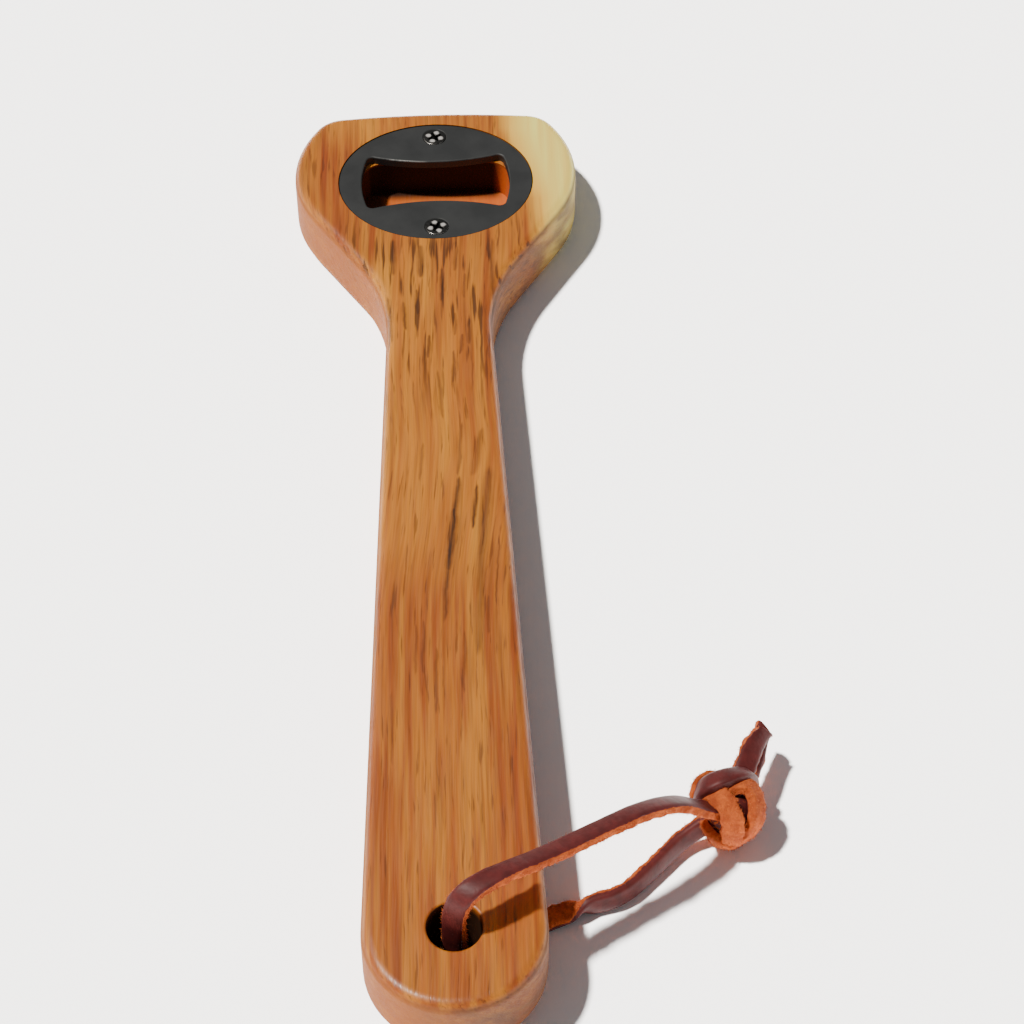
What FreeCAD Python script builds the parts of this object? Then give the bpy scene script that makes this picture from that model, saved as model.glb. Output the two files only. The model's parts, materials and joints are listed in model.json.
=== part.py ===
import FreeCAD
import Part
import math
import os

import Sketcher
from FreeCAD import Placement, Rotation, Vector

# Bottle opener: a hardwood paddle with an oval steel opener plate held by two wood screws, and a knotted
# leather lace through a hole in its handle end.
#
# The row frame is in millimetres: +Y from the handle end to the head, +X to the right seen from above and
# +Z up. The origin is at the bottom centre of the opener without its lace. The lace runs under the handle,
# so the handle end stands on the lace and the paddle is pitched by a fraction of a degree.

SIZES = (
    # the wooden paddle
    ("body_length", 250.0),
    ("body_thick", 15.0),
    ("round_over", 2.3),
    ("head_half_width", 33.4),
    ("widest_from_top", 21.3),
    ("side_radius", 30.0),
    ("top_radius", 220.0),
    ("corner_radius", 8.0),
    ("neck_half_width", 11.9),
    ("neck_from_top", 75.6),
    ("neck_radius", 40.4),
    ("end_radius", 17.2),
    ("lanyard_hole_diameter", 10.3),
    ("lanyard_hole_from_end", 17.2),
    ("hole_edge_round", 0.6),
    # the opener plate and its mouth
    ("plate_width", 45.6),
    ("plate_height", 40.8),
    ("plate_thick", 2.0),
    ("plate_from_top", 25.8),
    ("plate_gap", 0.25),
    ("plate_set_back", 0.15),
    ("mouth_half_width", 17.5),
    ("mouth_corner_across", 15.9),
    ("mouth_corner_up", 9.5),
    ("mouth_lip_up", 7.0),
    ("mouth_corner_round", 1.5),
    ("mouth_edge_round", 0.35),
    # the blind pocket in the wood under the mouth
    ("pocket_width", 35.2),
    ("pocket_height", 18.0),
    ("pocket_depth", 8.8),
    ("pocket_corner", 5.5),
    # the two countersunk screws
    ("screw_spacing", 32.4),
    ("screw_head_diameter", 5.5),
    ("screw_head_rim", 0.2),
    ("screw_thread_diameter", 2.9),
    ("screw_length", 9.5),
    ("screw_point", 2.6),
    ("screw_clearance", 0.05),
    ("cross_span", 3.0),
    ("cross_slot", 0.75),
    ("cross_depth", 1.4),
    # the leather lace
    ("lace_width", 4.4),
    ("lace_thick", 2.2),
    ("lace_clearance", 0.55),
    ("knot_diameter", 14.5),
    ("knot_across", 53.5),
    ("knot_along", 30.5),
    ("tail_length", 16.5),
)

# The lace's two strands start back to back inside the lanyard hole and end in the knot. Each route is given
# as points (x, y, z) from the foot of the hole's axis on the ground, chosen by hand.
UPPER_ROUTE = (
    (0.0, 0.0, 10.1),
    (-0.4, -0.2, 18.5),
    (0.8, 0.4, 26.4),
    (7.1, 4.1, 27.4),
    (16.9, 9.7, 24.9),
    (26.1, 14.9, 24.2),
    (35.2, 20.1, 23.3),
    (42.6, 24.3, 19.6),
    (47.3, 27.0, 13.2),
    (51.3, 29.2, 9.0),
)
LOWER_ROUTE = (
    (0.0, 0.0, 10.1),
    (0.43, 0.215, 1.1),
    (9.0, 6.2, 1.1),
    (20.0, 12.2, 1.1),
    (32.0, 14.8, 1.1),
    (38.4, 21.0, 1.1),
    (43.6, 26.4, 1.1),
    (47.2, 28.4, 1.1),
    (51.0, 29.8, 5.4),
)

# A strand's arc takes this share of the shorter of the two runs that it joins.
ARC_SHARE = 0.45

# The front tail's heading in degrees from +X, how much further the back one is turned, and the point they
# both start from, given from the knot's centre.
TAIL_HEADING = 61.5
TAIL_SPREAD = 7.0
TAIL_START = (-1.2, -1.6, 0.6)

# The turn in degrees of each screw's cross, as the screwdriver left it.
HEAD_SIDE_TURN = 25.0
HANDLE_SIDE_TURN = 65.0

# Two heights or places closer than this are the same one.
SAME_PLACE = 1e-3

doc = FreeCAD.newDocument("BottleOpener")
sizes = doc.addObject("Spreadsheet::Sheet", "sizes")
for row, (alias, value) in enumerate(SIZES, start=1):
    sizes.set("A%d" % row, alias)
    sizes.set("B%d" % row, repr(value))
    sizes.setAlias("B%d" % row, alias)
doc.recompute()


def size(alias):
    """The sheet's value of one driving dimension."""
    return float(sizes.get(alias))


# ---------------------------------------------------------------- helpers for sketches and features


def new_body(label):
    """A PartDesign body whose label is its node's name."""
    body = doc.addObject("PartDesign::Body", label)
    body.Label = label
    return body


def new_sketch(body, name, role="XY_Plane", height=None):
    """A sketch on one of the body's own origin planes, lifted by an expression where one is given."""
    plane = [f for f in body.Origin.OriginFeatures if f.Role == role][0]
    sketch = body.newObject("Sketcher::SketchObject", name)
    sketch.AttachmentSupport = [(plane, "")]
    sketch.MapMode = "FlatFace"
    if height:
        sketch.setExpression("AttachmentOffset.Base.z", height)
    return sketch


def bind(sketch, name, expression, kind, *references):
    """Add a dimension to a sketch, at the value its geometry has, and bind it to the sheet."""
    index = sketch.addConstraint(Sketcher.Constraint(kind, *references))
    sketch.renameConstraint(index, name)
    sketch.setExpression("Constraints." + name, expression)


def add_feature(body, kind, name, profile, length):
    """A Pad or a Pocket of a sketch, with its length bound to the sheet."""
    feature = body.newObject("PartDesign::" + kind, name)
    feature.Profile = profile
    feature.setExpression("Length", length)
    before = 0.0 if kind == "Pad" else body.Shape.Volume
    doc.recompute()
    change = body.Shape.Volume - before
    if change * (1 if kind == "Pad" else -1) <= 0:
        raise RuntimeError("%s changed the volume by %.3f" % (name, change))
    return feature


def add_dress_up(body, kind, name, base, edges, property_name, expression):
    """A Fillet or a Chamfer on the edges of a feature that a test picks."""
    names = ["Edge%d" % (i + 1) for i, edge in enumerate(base.Shape.Edges) if edges(edge)]
    feature = body.newObject("PartDesign::" + kind, name)
    feature.Base = (base, names)
    feature.setExpression(property_name, expression)
    doc.recompute()
    return feature


def add_circle(sketch, name, along, along_expression, diameter, diameter_expression):
    """A circle with its centre on the sketch's vertical axis."""
    circle = sketch.addGeometry(Part.Circle(Vector(0, along, 0), Vector(0, 0, 1), diameter / 2))
    sketch.addConstraint(Sketcher.Constraint("PointOnObject", circle, 3, -2))
    bind(sketch, name + "_along", along_expression, "DistanceY", -1, 1, circle, 3, along)
    bind(sketch, name + "_diameter", diameter_expression, "Diameter", circle, diameter)


def add_ellipse(sketch, along, along_expression, width, width_expression, height, height_expression):
    """An ellipse on the sketch's vertical axis. Its longer axis is across or along, as its sizes say."""
    centre = Vector(0, along, 0)
    ends = [centre + Vector(width / 2, 0, 0), centre + Vector(0, height / 2, 0)]
    is_wide = width >= height
    if not is_wide:
        ends.reverse()
    ellipse = sketch.addGeometry(Part.Ellipse(ends[0], ends[1], centre))
    longer = sketch.GeometryCount
    sketch.exposeInternalGeometry(ellipse)
    shorter = longer + 1
    across, upright = (longer, shorter) if is_wide else (shorter, longer)
    sketch.addConstraint(Sketcher.Constraint("Horizontal", across))
    sketch.addConstraint(Sketcher.Constraint("PointOnObject", ellipse, 3, -2))
    if along_expression:
        bind(sketch, "centre_along", along_expression, "DistanceY", -1, 1, ellipse, 3, along)
    else:
        sketch.addConstraint(Sketcher.Constraint("PointOnObject", ellipse, 3, -1))
    bind(sketch, "width", width_expression, "Distance", across, 1, across, 2, width)
    bind(sketch, "height", height_expression, "Distance", upright, 1, upright, 2, height)


def place_box(sketch, left, right, low, high, along, along_expression, width_alias, height_alias):
    """Bind the width, height and place of a box, given its four sides, to the sheet."""
    width = size(width_alias)
    height = size(height_alias)
    for line, direction in ((right, "Vertical"), (high, "Horizontal"), (left, "Vertical")):
        sketch.addConstraint(Sketcher.Constraint(direction, line))
    sketch.addConstraint(Sketcher.Constraint("Symmetric", low, 1, low, 2, -2))
    bind(sketch, "width", "sizes." + width_alias, "DistanceX", left, 1, right, 1, width)
    bind(sketch, "height", "sizes." + height_alias, "DistanceY", low, 1, high, 1, height)
    low_expression = "%s - sizes.%s / 2" % (along_expression, height_alias)
    bind(sketch, "low_side", low_expression, "DistanceY", -1, 1, low, 1, along - height / 2)


def add_rectangle(sketch, along, along_expression, width_alias, height_alias):
    """A rectangle centred on the sketch's vertical axis, with its middle at a height above the origin."""
    across = size(width_alias) / 2
    up = size(height_alias) / 2
    signs = ((1, -1), (1, 1), (-1, 1), (-1, -1))
    corners = [Vector(s * across, along + t * up, 0) for s, t in signs]
    sides = [
        sketch.addGeometry(Part.LineSegment(corners[i], corners[(i + 1) % 4])) for i in range(4)
    ]
    for i in range(4):
        sketch.addConstraint(Sketcher.Constraint("Coincident", sides[i], 2, sides[(i + 1) % 4], 1))
    right, high, left, low = sides
    place_box(sketch, left, right, low, high, along, along_expression, width_alias, height_alias)


def add_rounded_rectangle(sketch, along, along_expression, width_alias, height_alias, corner_alias):
    """A rectangle as add_rectangle makes it, with an arc tangent to both sides at each corner."""
    corner = size(corner_alias)
    across = size(width_alias) / 2 - corner
    up = size(height_alias) / 2 - corner
    arcs = []
    for i, (s, t) in enumerate(((1, -1), (1, 1), (-1, 1), (-1, -1))):
        circle = Part.Circle(Vector(s * across, along + t * up, 0), Vector(0, 0, 1), corner)
        start = (i - 1) * math.pi / 2
        arcs.append(Part.ArcOfCircle(circle, start, start + math.pi / 2))
    arc_ids = [sketch.addGeometry(arc) for arc in arcs]
    sides = [
        sketch.addGeometry(Part.LineSegment(arcs[i].EndPoint, arcs[(i + 1) % 4].StartPoint))
        for i in range(4)
    ]
    for i in range(4):
        sketch.addConstraint(Sketcher.Constraint("Tangent", arc_ids[i], 2, sides[i], 1))
        sketch.addConstraint(Sketcher.Constraint("Tangent", sides[i], 2, arc_ids[(i + 1) % 4], 1))
    for arc in arc_ids[1:]:
        sketch.addConstraint(Sketcher.Constraint("Equal", arc_ids[0], arc))
    bind(sketch, "corner", "sizes." + corner_alias, "Radius", arc_ids[0], corner)
    right, high, left, low = sides
    place_box(sketch, left, right, low, high, along, along_expression, width_alias, height_alias)


# ---------------------------------------------------------------- the paddle's outline


def circles_meet(first, first_radius, second, second_radius):
    """The point with the larger x where two circles meet."""
    between = second - first
    gap = between.Length
    along = (first_radius**2 - second_radius**2 + gap**2) / (2 * gap)
    aside = math.sqrt(first_radius**2 - along**2)
    unit = between / gap
    points = [first + unit * along + Vector(-unit.y, unit.x, 0) * s for s in (aside, -aside)]
    return max(points, key=lambda p: p.x)


def cross_tangent(first, first_radius, second, second_radius, side):
    """The ends of the line that touches two circles and passes between them."""
    between = second - first
    turn = side * math.acos((first_radius + second_radius) / between.Length)
    heading = math.atan2(between.y, between.x) + turn
    normal = Vector(math.cos(heading), math.sin(heading), 0)
    return first + normal * first_radius, second - normal * second_radius


def arc_between(centre, start, end):
    """The arc from start to end, counter-clockwise about the centre."""
    radius = (start - centre).Length
    angles = [math.atan2(p.y - centre.y, p.x - centre.x) for p in (start, end)]
    circle = Part.Circle(centre, Vector(0, 0, 1), radius)
    return Part.ArcOfCircle(circle, angles[0], angles[1])


def flipped(point):
    """The same point on the other side of the paddle's centre line."""
    return Vector(-point.x, point.y, 0)


def draw_outline(sketch):
    """The paddle seen from above: arcs and lines, each tangent to the next, the same on both sides."""
    length = size("body_length")
    top = Vector(0, length - size("top_radius"), 0)
    side = Vector(
        size("head_half_width") - size("side_radius"), length - size("widest_from_top"), 0
    )
    neck = Vector(
        size("neck_half_width") + size("neck_radius"), length - size("neck_from_top"), 0
    )
    end = Vector(0, size("end_radius"), 0)
    corner = circles_meet(
        top,
        size("top_radius") - size("corner_radius"),
        side,
        size("side_radius") - size("corner_radius"),
    )
    top_end = top + (corner - top).normalize() * size("top_radius")
    corner_end = side + (corner - side).normalize() * size("side_radius")
    shoulder = cross_tangent(side, size("side_radius"), neck, size("neck_radius"), 1)
    handle = cross_tangent(end, size("end_radius"), neck, size("neck_radius"), -1)

    chain = [
        (arc_between(top, top_end, flipped(top_end)), 1, 2),
        (arc_between(flipped(corner), flipped(top_end), flipped(corner_end)), 1, 2),
        (arc_between(flipped(side), flipped(corner_end), flipped(shoulder[0])), 1, 2),
        (Part.LineSegment(flipped(shoulder[0]), flipped(shoulder[1])), 1, 2),
        (arc_between(flipped(neck), flipped(handle[1]), flipped(shoulder[1])), 2, 1),
        (Part.LineSegment(flipped(handle[1]), flipped(handle[0])), 1, 2),
        (arc_between(end, flipped(handle[0]), handle[0]), 1, 2),
        (Part.LineSegment(handle[0], handle[1]), 1, 2),
        (arc_between(neck, shoulder[1], handle[1]), 2, 1),
        (Part.LineSegment(shoulder[1], shoulder[0]), 1, 2),
        (arc_between(side, shoulder[0], corner_end), 1, 2),
        (arc_between(corner, corner_end, top_end), 1, 2),
    ]
    ids = [sketch.addGeometry(geometry) for geometry, _, _ in chain]
    for i, (_, _, leaves) in enumerate(chain):
        following = (i + 1) % len(chain)
        arrives = chain[following][1]
        sketch.addConstraint(
            Sketcher.Constraint("Tangent", ids[i], leaves, ids[following], arrives)
        )
    top_id, left_corner, left_side, _, left_neck, _, end_id, _, neck_id, _, side_id, corner_id = ids
    for arc in (top_id, end_id):
        sketch.addConstraint(Sketcher.Constraint("PointOnObject", arc, 3, -2))
    top_rule = "sizes.body_length - sizes.top_radius"
    bind(sketch, "top_centre", top_rule, "DistanceY", -1, 1, top_id, 3, top.y)
    bind(sketch, "end_centre", "sizes.end_radius", "DistanceY", -1, 1, end_id, 3, end.y)
    bind(sketch, "top_radius", "sizes.top_radius", "Radius", top_id, size("top_radius"))
    bind(sketch, "end_radius", "sizes.end_radius", "Radius", end_id, size("end_radius"))
    for right, left, name in (
        (corner_id, left_corner, "corner_radius"),
        (side_id, left_side, "side_radius"),
        (neck_id, left_neck, "neck_radius"),
    ):
        bind(sketch, name, "sizes." + name, "Radius", right, size(name))
        sketch.addConstraint(Sketcher.Constraint("Equal", right, left))
    for right, left, name, point, across, along in (
        (
            side_id,
            left_side,
            "side",
            side,
            "sizes.head_half_width - sizes.side_radius",
            "sizes.body_length - sizes.widest_from_top",
        ),
        (
            neck_id,
            left_neck,
            "neck",
            neck,
            "sizes.neck_half_width + sizes.neck_radius",
            "sizes.body_length - sizes.neck_from_top",
        ),
    ):
        bind(sketch, name + "_across", across, "DistanceX", -1, 1, right, 3, point.x)
        bind(sketch, name + "_along", along, "DistanceY", -1, 1, right, 3, point.y)
        sketch.addConstraint(Sketcher.Constraint("Symmetric", right, 3, left, 3, -2))


# ---------------------------------------------------------------- the wooden paddle

PLATE_ALONG = "sizes.body_length - sizes.plate_from_top"
RECESS_FLOOR = "sizes.body_thick - sizes.plate_thick - sizes.plate_set_back"
plate_along = size("body_length") - size("plate_from_top")
recess_floor = size("body_thick") - size("plate_thick") - size("plate_set_back")


def is_flat(edge, height):
    """Does the whole edge lie at one height?"""
    box = edge.BoundBox
    return abs(box.ZMin - height) < SAME_PLACE and abs(box.ZMax - height) < SAME_PLACE


def is_upright(edge):
    """Is the edge a straight one along Z?"""
    box = edge.BoundBox
    return max(box.XLength, box.YLength) < SAME_PLACE < box.ZLength


def is_circle(edge, radius):
    """Is the edge a circle of this radius?"""
    return isinstance(edge.Curve, Part.Circle) and abs(edge.Curve.Radius - radius) < SAME_PLACE


def make_wood_body():
    """The paddle: padded outline, rounded-over edges, plate recess, cap pocket and holes."""
    body = new_body("wood_body")
    outline = new_sketch(body, "Outline")
    draw_outline(outline)
    plank = add_feature(body, "Pad", "Plank", outline, "sizes.body_thick")
    thick = size("body_thick")
    add_dress_up(
        body,
        "Fillet",
        "RoundOver",
        plank,
        lambda edge: is_flat(edge, 0) or is_flat(edge, thick),
        "Radius",
        "sizes.round_over",
    )

    recess = new_sketch(body, "Recess", height="sizes.body_thick")
    add_ellipse(
        recess,
        plate_along,
        PLATE_ALONG,
        size("plate_width") + 2 * size("plate_gap"),
        "sizes.plate_width + 2 * sizes.plate_gap",
        size("plate_height") + 2 * size("plate_gap"),
        "sizes.plate_height + 2 * sizes.plate_gap",
    )
    add_feature(body, "Pocket", "PlateRecess", recess, "sizes.plate_thick + sizes.plate_set_back")

    mouth = new_sketch(body, "Mouth", height=RECESS_FLOOR)
    add_rounded_rectangle(
        mouth, plate_along, PLATE_ALONG, "pocket_width", "pocket_height", "pocket_corner"
    )
    add_feature(body, "Pocket", "CapPocket", mouth, "sizes.pocket_depth")

    pilots = new_sketch(body, "Pilots", height=RECESS_FLOOR)
    spacing = size("screw_spacing")
    for name, sign in (("head_side", 1), ("handle_side", -1)):
        add_circle(
            pilots,
            name,
            plate_along + sign * spacing / 2,
            "%s + %d * sizes.screw_spacing / 2" % (PLATE_ALONG, sign),
            size("screw_thread_diameter"),
            "sizes.screw_thread_diameter",
        )
    pilot_depth = "sizes.screw_length - sizes.plate_thick + sizes.screw_clearance"
    add_feature(body, "Pocket", "PilotHoles", pilots, pilot_depth)

    lanyard = new_sketch(body, "Lanyard", height="sizes.body_thick")
    diameter = size("lanyard_hole_diameter")
    add_circle(
        lanyard,
        "lanyard",
        size("lanyard_hole_from_end"),
        "sizes.lanyard_hole_from_end",
        diameter,
        "sizes.lanyard_hole_diameter",
    )
    hole = add_feature(body, "Pocket", "LanyardHole", lanyard, "sizes.body_thick")
    add_dress_up(
        body,
        "Fillet",
        "HoleEdges",
        hole,
        lambda edge: is_circle(edge, diameter / 2) and (is_flat(edge, 0) or is_flat(edge, thick)),
        "Radius",
        "sizes.hole_edge_round",
    )
    return body


# ---------------------------------------------------------------- the opener plate


def draw_mouth(sketch):
    """The bow-tie mouth: two lips that bow towards each other and two ends that bow outwards."""
    across = size("mouth_corner_across")
    up = size("mouth_corner_up")
    signs = ((1, 1), (-1, 1), (-1, -1), (1, -1))
    corners = [Vector(s * across, t * up, 0) for s, t in signs]
    middles = [
        Vector(0, size("mouth_lip_up"), 0),
        Vector(-size("mouth_half_width"), 0, 0),
        Vector(0, -size("mouth_lip_up"), 0),
        Vector(size("mouth_half_width"), 0, 0),
    ]
    arcs = []
    for i, middle in enumerate(middles):
        arc = Part.Arc(corners[i], middle, corners[(i + 1) % 4])
        arcs.append(sketch.addGeometry(arc))
    ends = []
    for i, arc in enumerate(arcs):
        start = sketch.getPoint(arc, 1)
        ends.append((1, 2) if start.distanceToPoint(corners[i]) < SAME_PLACE else (2, 1))
    for i in range(4):
        j = (i + 1) % 4
        meeting = (arcs[i], ends[i][1], arcs[j], ends[j][0])
        sketch.addConstraint(Sketcher.Constraint("Coincident", *meeting))
    first = (arcs[0], ends[0][0])
    sketch.addConstraint(Sketcher.Constraint("Symmetric", *first, arcs[0], ends[0][1], -2))
    sketch.addConstraint(Sketcher.Constraint("Symmetric", arcs[2], ends[2][0], arcs[2], ends[2][1], -2))
    sketch.addConstraint(Sketcher.Constraint("Symmetric", *first, arcs[3], ends[3][0], -1))
    bind(sketch, "corner_across", "sizes.mouth_corner_across", "DistanceX", -1, 1, *first, across)
    bind(sketch, "corner_up", "sizes.mouth_corner_up", "DistanceY", -1, 1, *first, up)
    sag = "(sizes.mouth_corner_up - sizes.mouth_lip_up)"
    lip = "(sizes.mouth_corner_across ^ 2 + %s ^ 2) / (2 * %s)" % (sag, sag)
    sag = "(sizes.mouth_half_width - sizes.mouth_corner_across)"
    side = "(sizes.mouth_corner_up ^ 2 + %s ^ 2) / (2 * %s)" % (sag, sag)
    lip_sag = up - size("mouth_lip_up")
    side_sag = size("mouth_half_width") - across
    bind(sketch, "lip_radius", lip, "Radius", arcs[0], (across**2 + lip_sag**2) / (2 * lip_sag))
    bind(sketch, "side_radius", side, "Radius", arcs[1], (up**2 + side_sag**2) / (2 * side_sag))
    sketch.addConstraint(Sketcher.Constraint("Equal", arcs[0], arcs[2]))
    sketch.addConstraint(Sketcher.Constraint("Equal", arcs[1], arcs[3]))


def make_opener_plate():
    """The oval plate: mouth with rounded corners and softened edges, and two countersunk holes."""
    body = new_body("opener_plate")
    oval = new_sketch(body, "Oval")
    add_ellipse(
        oval,
        0,
        None,
        size("plate_width"),
        "sizes.plate_width",
        size("plate_height"),
        "sizes.plate_height",
    )
    add_feature(body, "Pad", "Blank", oval, "sizes.plate_thick")
    mouth = new_sketch(body, "PlateMouth", height="sizes.plate_thick")
    draw_mouth(mouth)
    opening = add_feature(body, "Pocket", "MouthOpening", mouth, "sizes.plate_thick")
    across = size("mouth_corner_across")
    corners = add_dress_up(
        body,
        "Fillet",
        "MouthCorners",
        opening,
        lambda edge: is_upright(edge) and abs(abs(edge.CenterOfMass.x) - across) < SAME_PLACE,
        "Radius",
        "sizes.mouth_corner_round",
    )
    thick = size("plate_thick")
    mouth_reach = size("mouth_half_width") + SAME_PLACE
    add_dress_up(
        body,
        "Fillet",
        "MouthEdge",
        corners,
        lambda edge: is_flat(edge, thick)
        and max(abs(edge.BoundBox.XMin), abs(edge.BoundBox.XMax)) < mouth_reach,
        "Radius",
        "sizes.mouth_edge_round",
    )
    holes = new_sketch(body, "ScrewHoles", height="sizes.plate_thick")
    spacing = size("screw_spacing")
    diameter = size("screw_thread_diameter") + 2 * size("screw_clearance")
    for name, sign in (("head_side", 1), ("handle_side", -1)):
        add_circle(
            holes,
            name,
            sign * spacing / 2,
            "%d * sizes.screw_spacing / 2" % sign,
            diameter,
            "sizes.screw_thread_diameter + 2 * sizes.screw_clearance",
        )
    drilled = add_feature(body, "Pocket", "ScrewHolesCut", holes, "sizes.plate_thick")
    add_dress_up(
        body,
        "Chamfer",
        "Countersinks",
        drilled,
        lambda edge: is_circle(edge, diameter / 2) and is_flat(edge, thick),
        "Size",
        "(sizes.screw_head_diameter - sizes.screw_thread_diameter) / 2 + sizes.screw_head_rim",
    )
    return body


# ---------------------------------------------------------------- the screws


def make_screw(label):
    """A countersunk wood screw with a cross recess, its head's face at z = 0 and its point down."""
    body = new_body(label)
    profile = new_sketch(body, label + "_profile", role="XZ_Plane")
    head = size("screw_head_diameter") / 2
    thread = size("screw_thread_diameter") / 2
    rim = size("screw_head_rim")
    points = [
        Vector(0, 0, 0),
        Vector(head, 0, 0),
        Vector(head, -rim, 0),
        Vector(thread, -rim - head + thread, 0),
        Vector(thread, size("screw_point") - size("screw_length"), 0),
        Vector(0, -size("screw_length"), 0),
    ]
    count = len(points)
    lines = [
        profile.addGeometry(Part.LineSegment(points[i], points[(i + 1) % count])) for i in range(count)
    ]
    for i in range(count):
        profile.addConstraint(
            Sketcher.Constraint("Coincident", lines[i], 2, lines[(i + 1) % count], 1)
        )
    profile.addConstraint(Sketcher.Constraint("Coincident", lines[0], 1, -1, 1))
    head_rule = "sizes.screw_head_diameter / 2"
    thread_rule = "sizes.screw_thread_diameter / 2"
    rules = (
        (1, head_rule, "0"),
        (2, head_rule, "-sizes.screw_head_rim"),
        (3, thread_rule, "%s - %s - sizes.screw_head_rim" % (thread_rule, head_rule)),
        (4, thread_rule, "sizes.screw_point - sizes.screw_length"),
        (5, None, "-sizes.screw_length"),
    )
    for i, across, up in rules:
        if across:
            bind(profile, "across_%d" % i, across, "DistanceX", -1, 1, lines[i], 1, points[i].x)
        else:
            profile.addConstraint(Sketcher.Constraint("PointOnObject", lines[i], 1, -2))
        if up == "0":
            profile.addConstraint(Sketcher.Constraint("PointOnObject", lines[i], 1, -1))
        else:
            bind(profile, "up_%d" % i, up, "DistanceY", -1, 1, lines[i], 1, points[i].y)
    turned = body.newObject("PartDesign::Revolution", label + "_turned")
    turned.Profile = profile
    turned.ReferenceAxis = (profile, ["V_Axis"])
    turned.Angle = 360
    doc.recompute()
    for turn, (width, height) in enumerate((("cross_span", "cross_slot"), ("cross_slot", "cross_span"))):
        slot = new_sketch(body, "%s_slot_%d" % (label, turn))
        add_rectangle(slot, 0, "0", width, height)
        add_feature(body, "Pocket", "%s_recess_%d" % (label, turn), slot, "sizes.cross_depth")
    return body


# ---------------------------------------------------------------- the lace


def rounded_route(points):
    """Runs and arcs of a route: each corner's arc is as large as its two runs allow."""
    runs = []
    arcs = []
    start = points[0]
    for before, corner, after in zip(points, points[1:], points[2:]):
        arriving = (corner - before).normalize()
        leaving = (after - corner).normalize()
        turn = arriving.getAngle(leaving)
        reach = ARC_SHARE * min((corner - before).Length, (after - corner).Length)
        radius = reach / math.tan(turn / 2)
        arc_start = corner - arriving * reach
        axis = arriving.cross(leaving).normalize()
        centre = arc_start + axis.cross(arriving) * radius
        runs.append((start, arc_start))
        arcs.append((centre, axis, turn, radius))
        start = corner + leaving * reach
    runs.append((start, points[-1]))
    return runs, arcs


def make_ribbon(name, points, heading):
    """A flat lace along a route: its section slides along each run and turns about each arc's centre.

    The heading is the level direction that the lace's flat side faces along at its start.
    """
    runs, arcs = rounded_route(points)
    width = size("lace_width")
    thick = size("lace_thick")
    first = (runs[0][1] - runs[0][0]).normalize()
    wide = first.cross(Vector(heading.x, heading.y, 0)).normalize() * (width / 2)
    deep = first.cross(wide).normalize() * (thick / 2)
    at = runs[0][0]
    corners = [at - wide - deep, at + wide - deep, at + wide + deep, at - wide + deep]
    section = Part.Face(Part.makePolygon(corners + corners[:1]))
    pieces = []
    length = 0.0
    for i, (start, end) in enumerate(runs):
        step = end - start
        pieces.append(section.extrude(step))
        section = section.translated(step)
        length += step.Length
        if i < len(arcs):
            centre, axis, turn, radius = arcs[i]
            pieces.append(section.revolve(centre, axis, math.degrees(turn)))
            section = section.rotated(centre, axis, math.degrees(turn))
            length += radius * turn
    solid = pieces[0].fuse(pieces[1:]).removeSplitter().Solids[0]
    expected = width * thick * length
    radii = ", ".join("%.1f" % radius for _, _, _, radius in arcs)
    print("%s: length %.2f, bend radii %s" % (name, length, radii))
    print("%s: volume %.2f against section times length %.2f" % (name, solid.Volume, expected))
    return solid


def add_shape(name, shape):
    """A Part feature that holds a shape."""
    feature = doc.addObject("Part::Feature", name)
    feature.Shape = shape
    return feature


def cut_by_knot(label, base, knot):
    """What is left of a strand or tail outside the knot."""
    cut = doc.addObject("Part::Cut", label)
    cut.Label = label
    cut.Base = base
    cut.Tool = knot
    return cut


def make_lace(foot):
    """The knot, the two strands that lead to it from the lanyard hole, and the two cut tails."""
    knot = doc.addObject("Part::Sphere", "lace_knot")
    knot.Label = "lace_knot"
    knot.setExpression("Radius", "sizes.knot_diameter / 2")
    centre = foot + Vector(size("knot_across"), size("knot_along"), size("knot_diameter") / 2)
    knot.Placement = Placement(centre, Rotation())

    nodes = [knot]
    for label, route, facing in (("lace_upper", UPPER_ROUTE, -1), ("lace_lower", LOWER_ROUTE, 2)):
        points = [foot + Vector(*point) for point in route]
        heading = points[facing] - points[0]
        ribbon = add_shape(label + "_ribbon", make_ribbon(label, points, heading))
        nodes.append(cut_by_knot(label, ribbon, knot))

    for label, level, spread in (("lace_tail_front", 0, 0), ("lace_tail_back", -1, TAIL_SPREAD)):
        strip = doc.addObject("Part::Box", label + "_strip")
        strip.setExpression("Length", "sizes.tail_length")
        strip.setExpression("Width", "sizes.lace_width")
        strip.setExpression("Height", "sizes.lace_thick")
        turn = Rotation(Vector(0, 0, 1), TAIL_HEADING + spread)
        low_corner = turn.multVec(Vector(0, -size("lace_width") / 2, level * size("lace_thick")))
        strip.Placement = Placement(centre + Vector(*TAIL_START) + low_corner, turn)
        nodes.append(cut_by_knot(label, strip, knot))
    return nodes


# ---------------------------------------------------------------- assembly


def opener_placement():
    """Pitch the opener so that its head rests on the ground and its handle end on the lace."""
    radius = size("round_over")
    lift = size("lace_thick") + size("lace_clearance")
    span = size("body_length") - radius - size("lanyard_hole_from_end")
    pitch = math.asin(lift / span)
    low_y = radius * (math.cos(pitch) + math.sin(pitch) - 1)
    high_y = (size("body_length") - radius) * math.cos(pitch) + radius
    high_y += (size("body_thick") - radius) * math.sin(pitch)
    up = (size("body_length") - radius) * math.sin(pitch) + radius * (1 - math.cos(pitch))
    turn = Rotation(Vector(1, 0, 0), -math.degrees(pitch))
    return Placement(Vector(0, -(low_y + high_y) / 2, up), turn)


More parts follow.
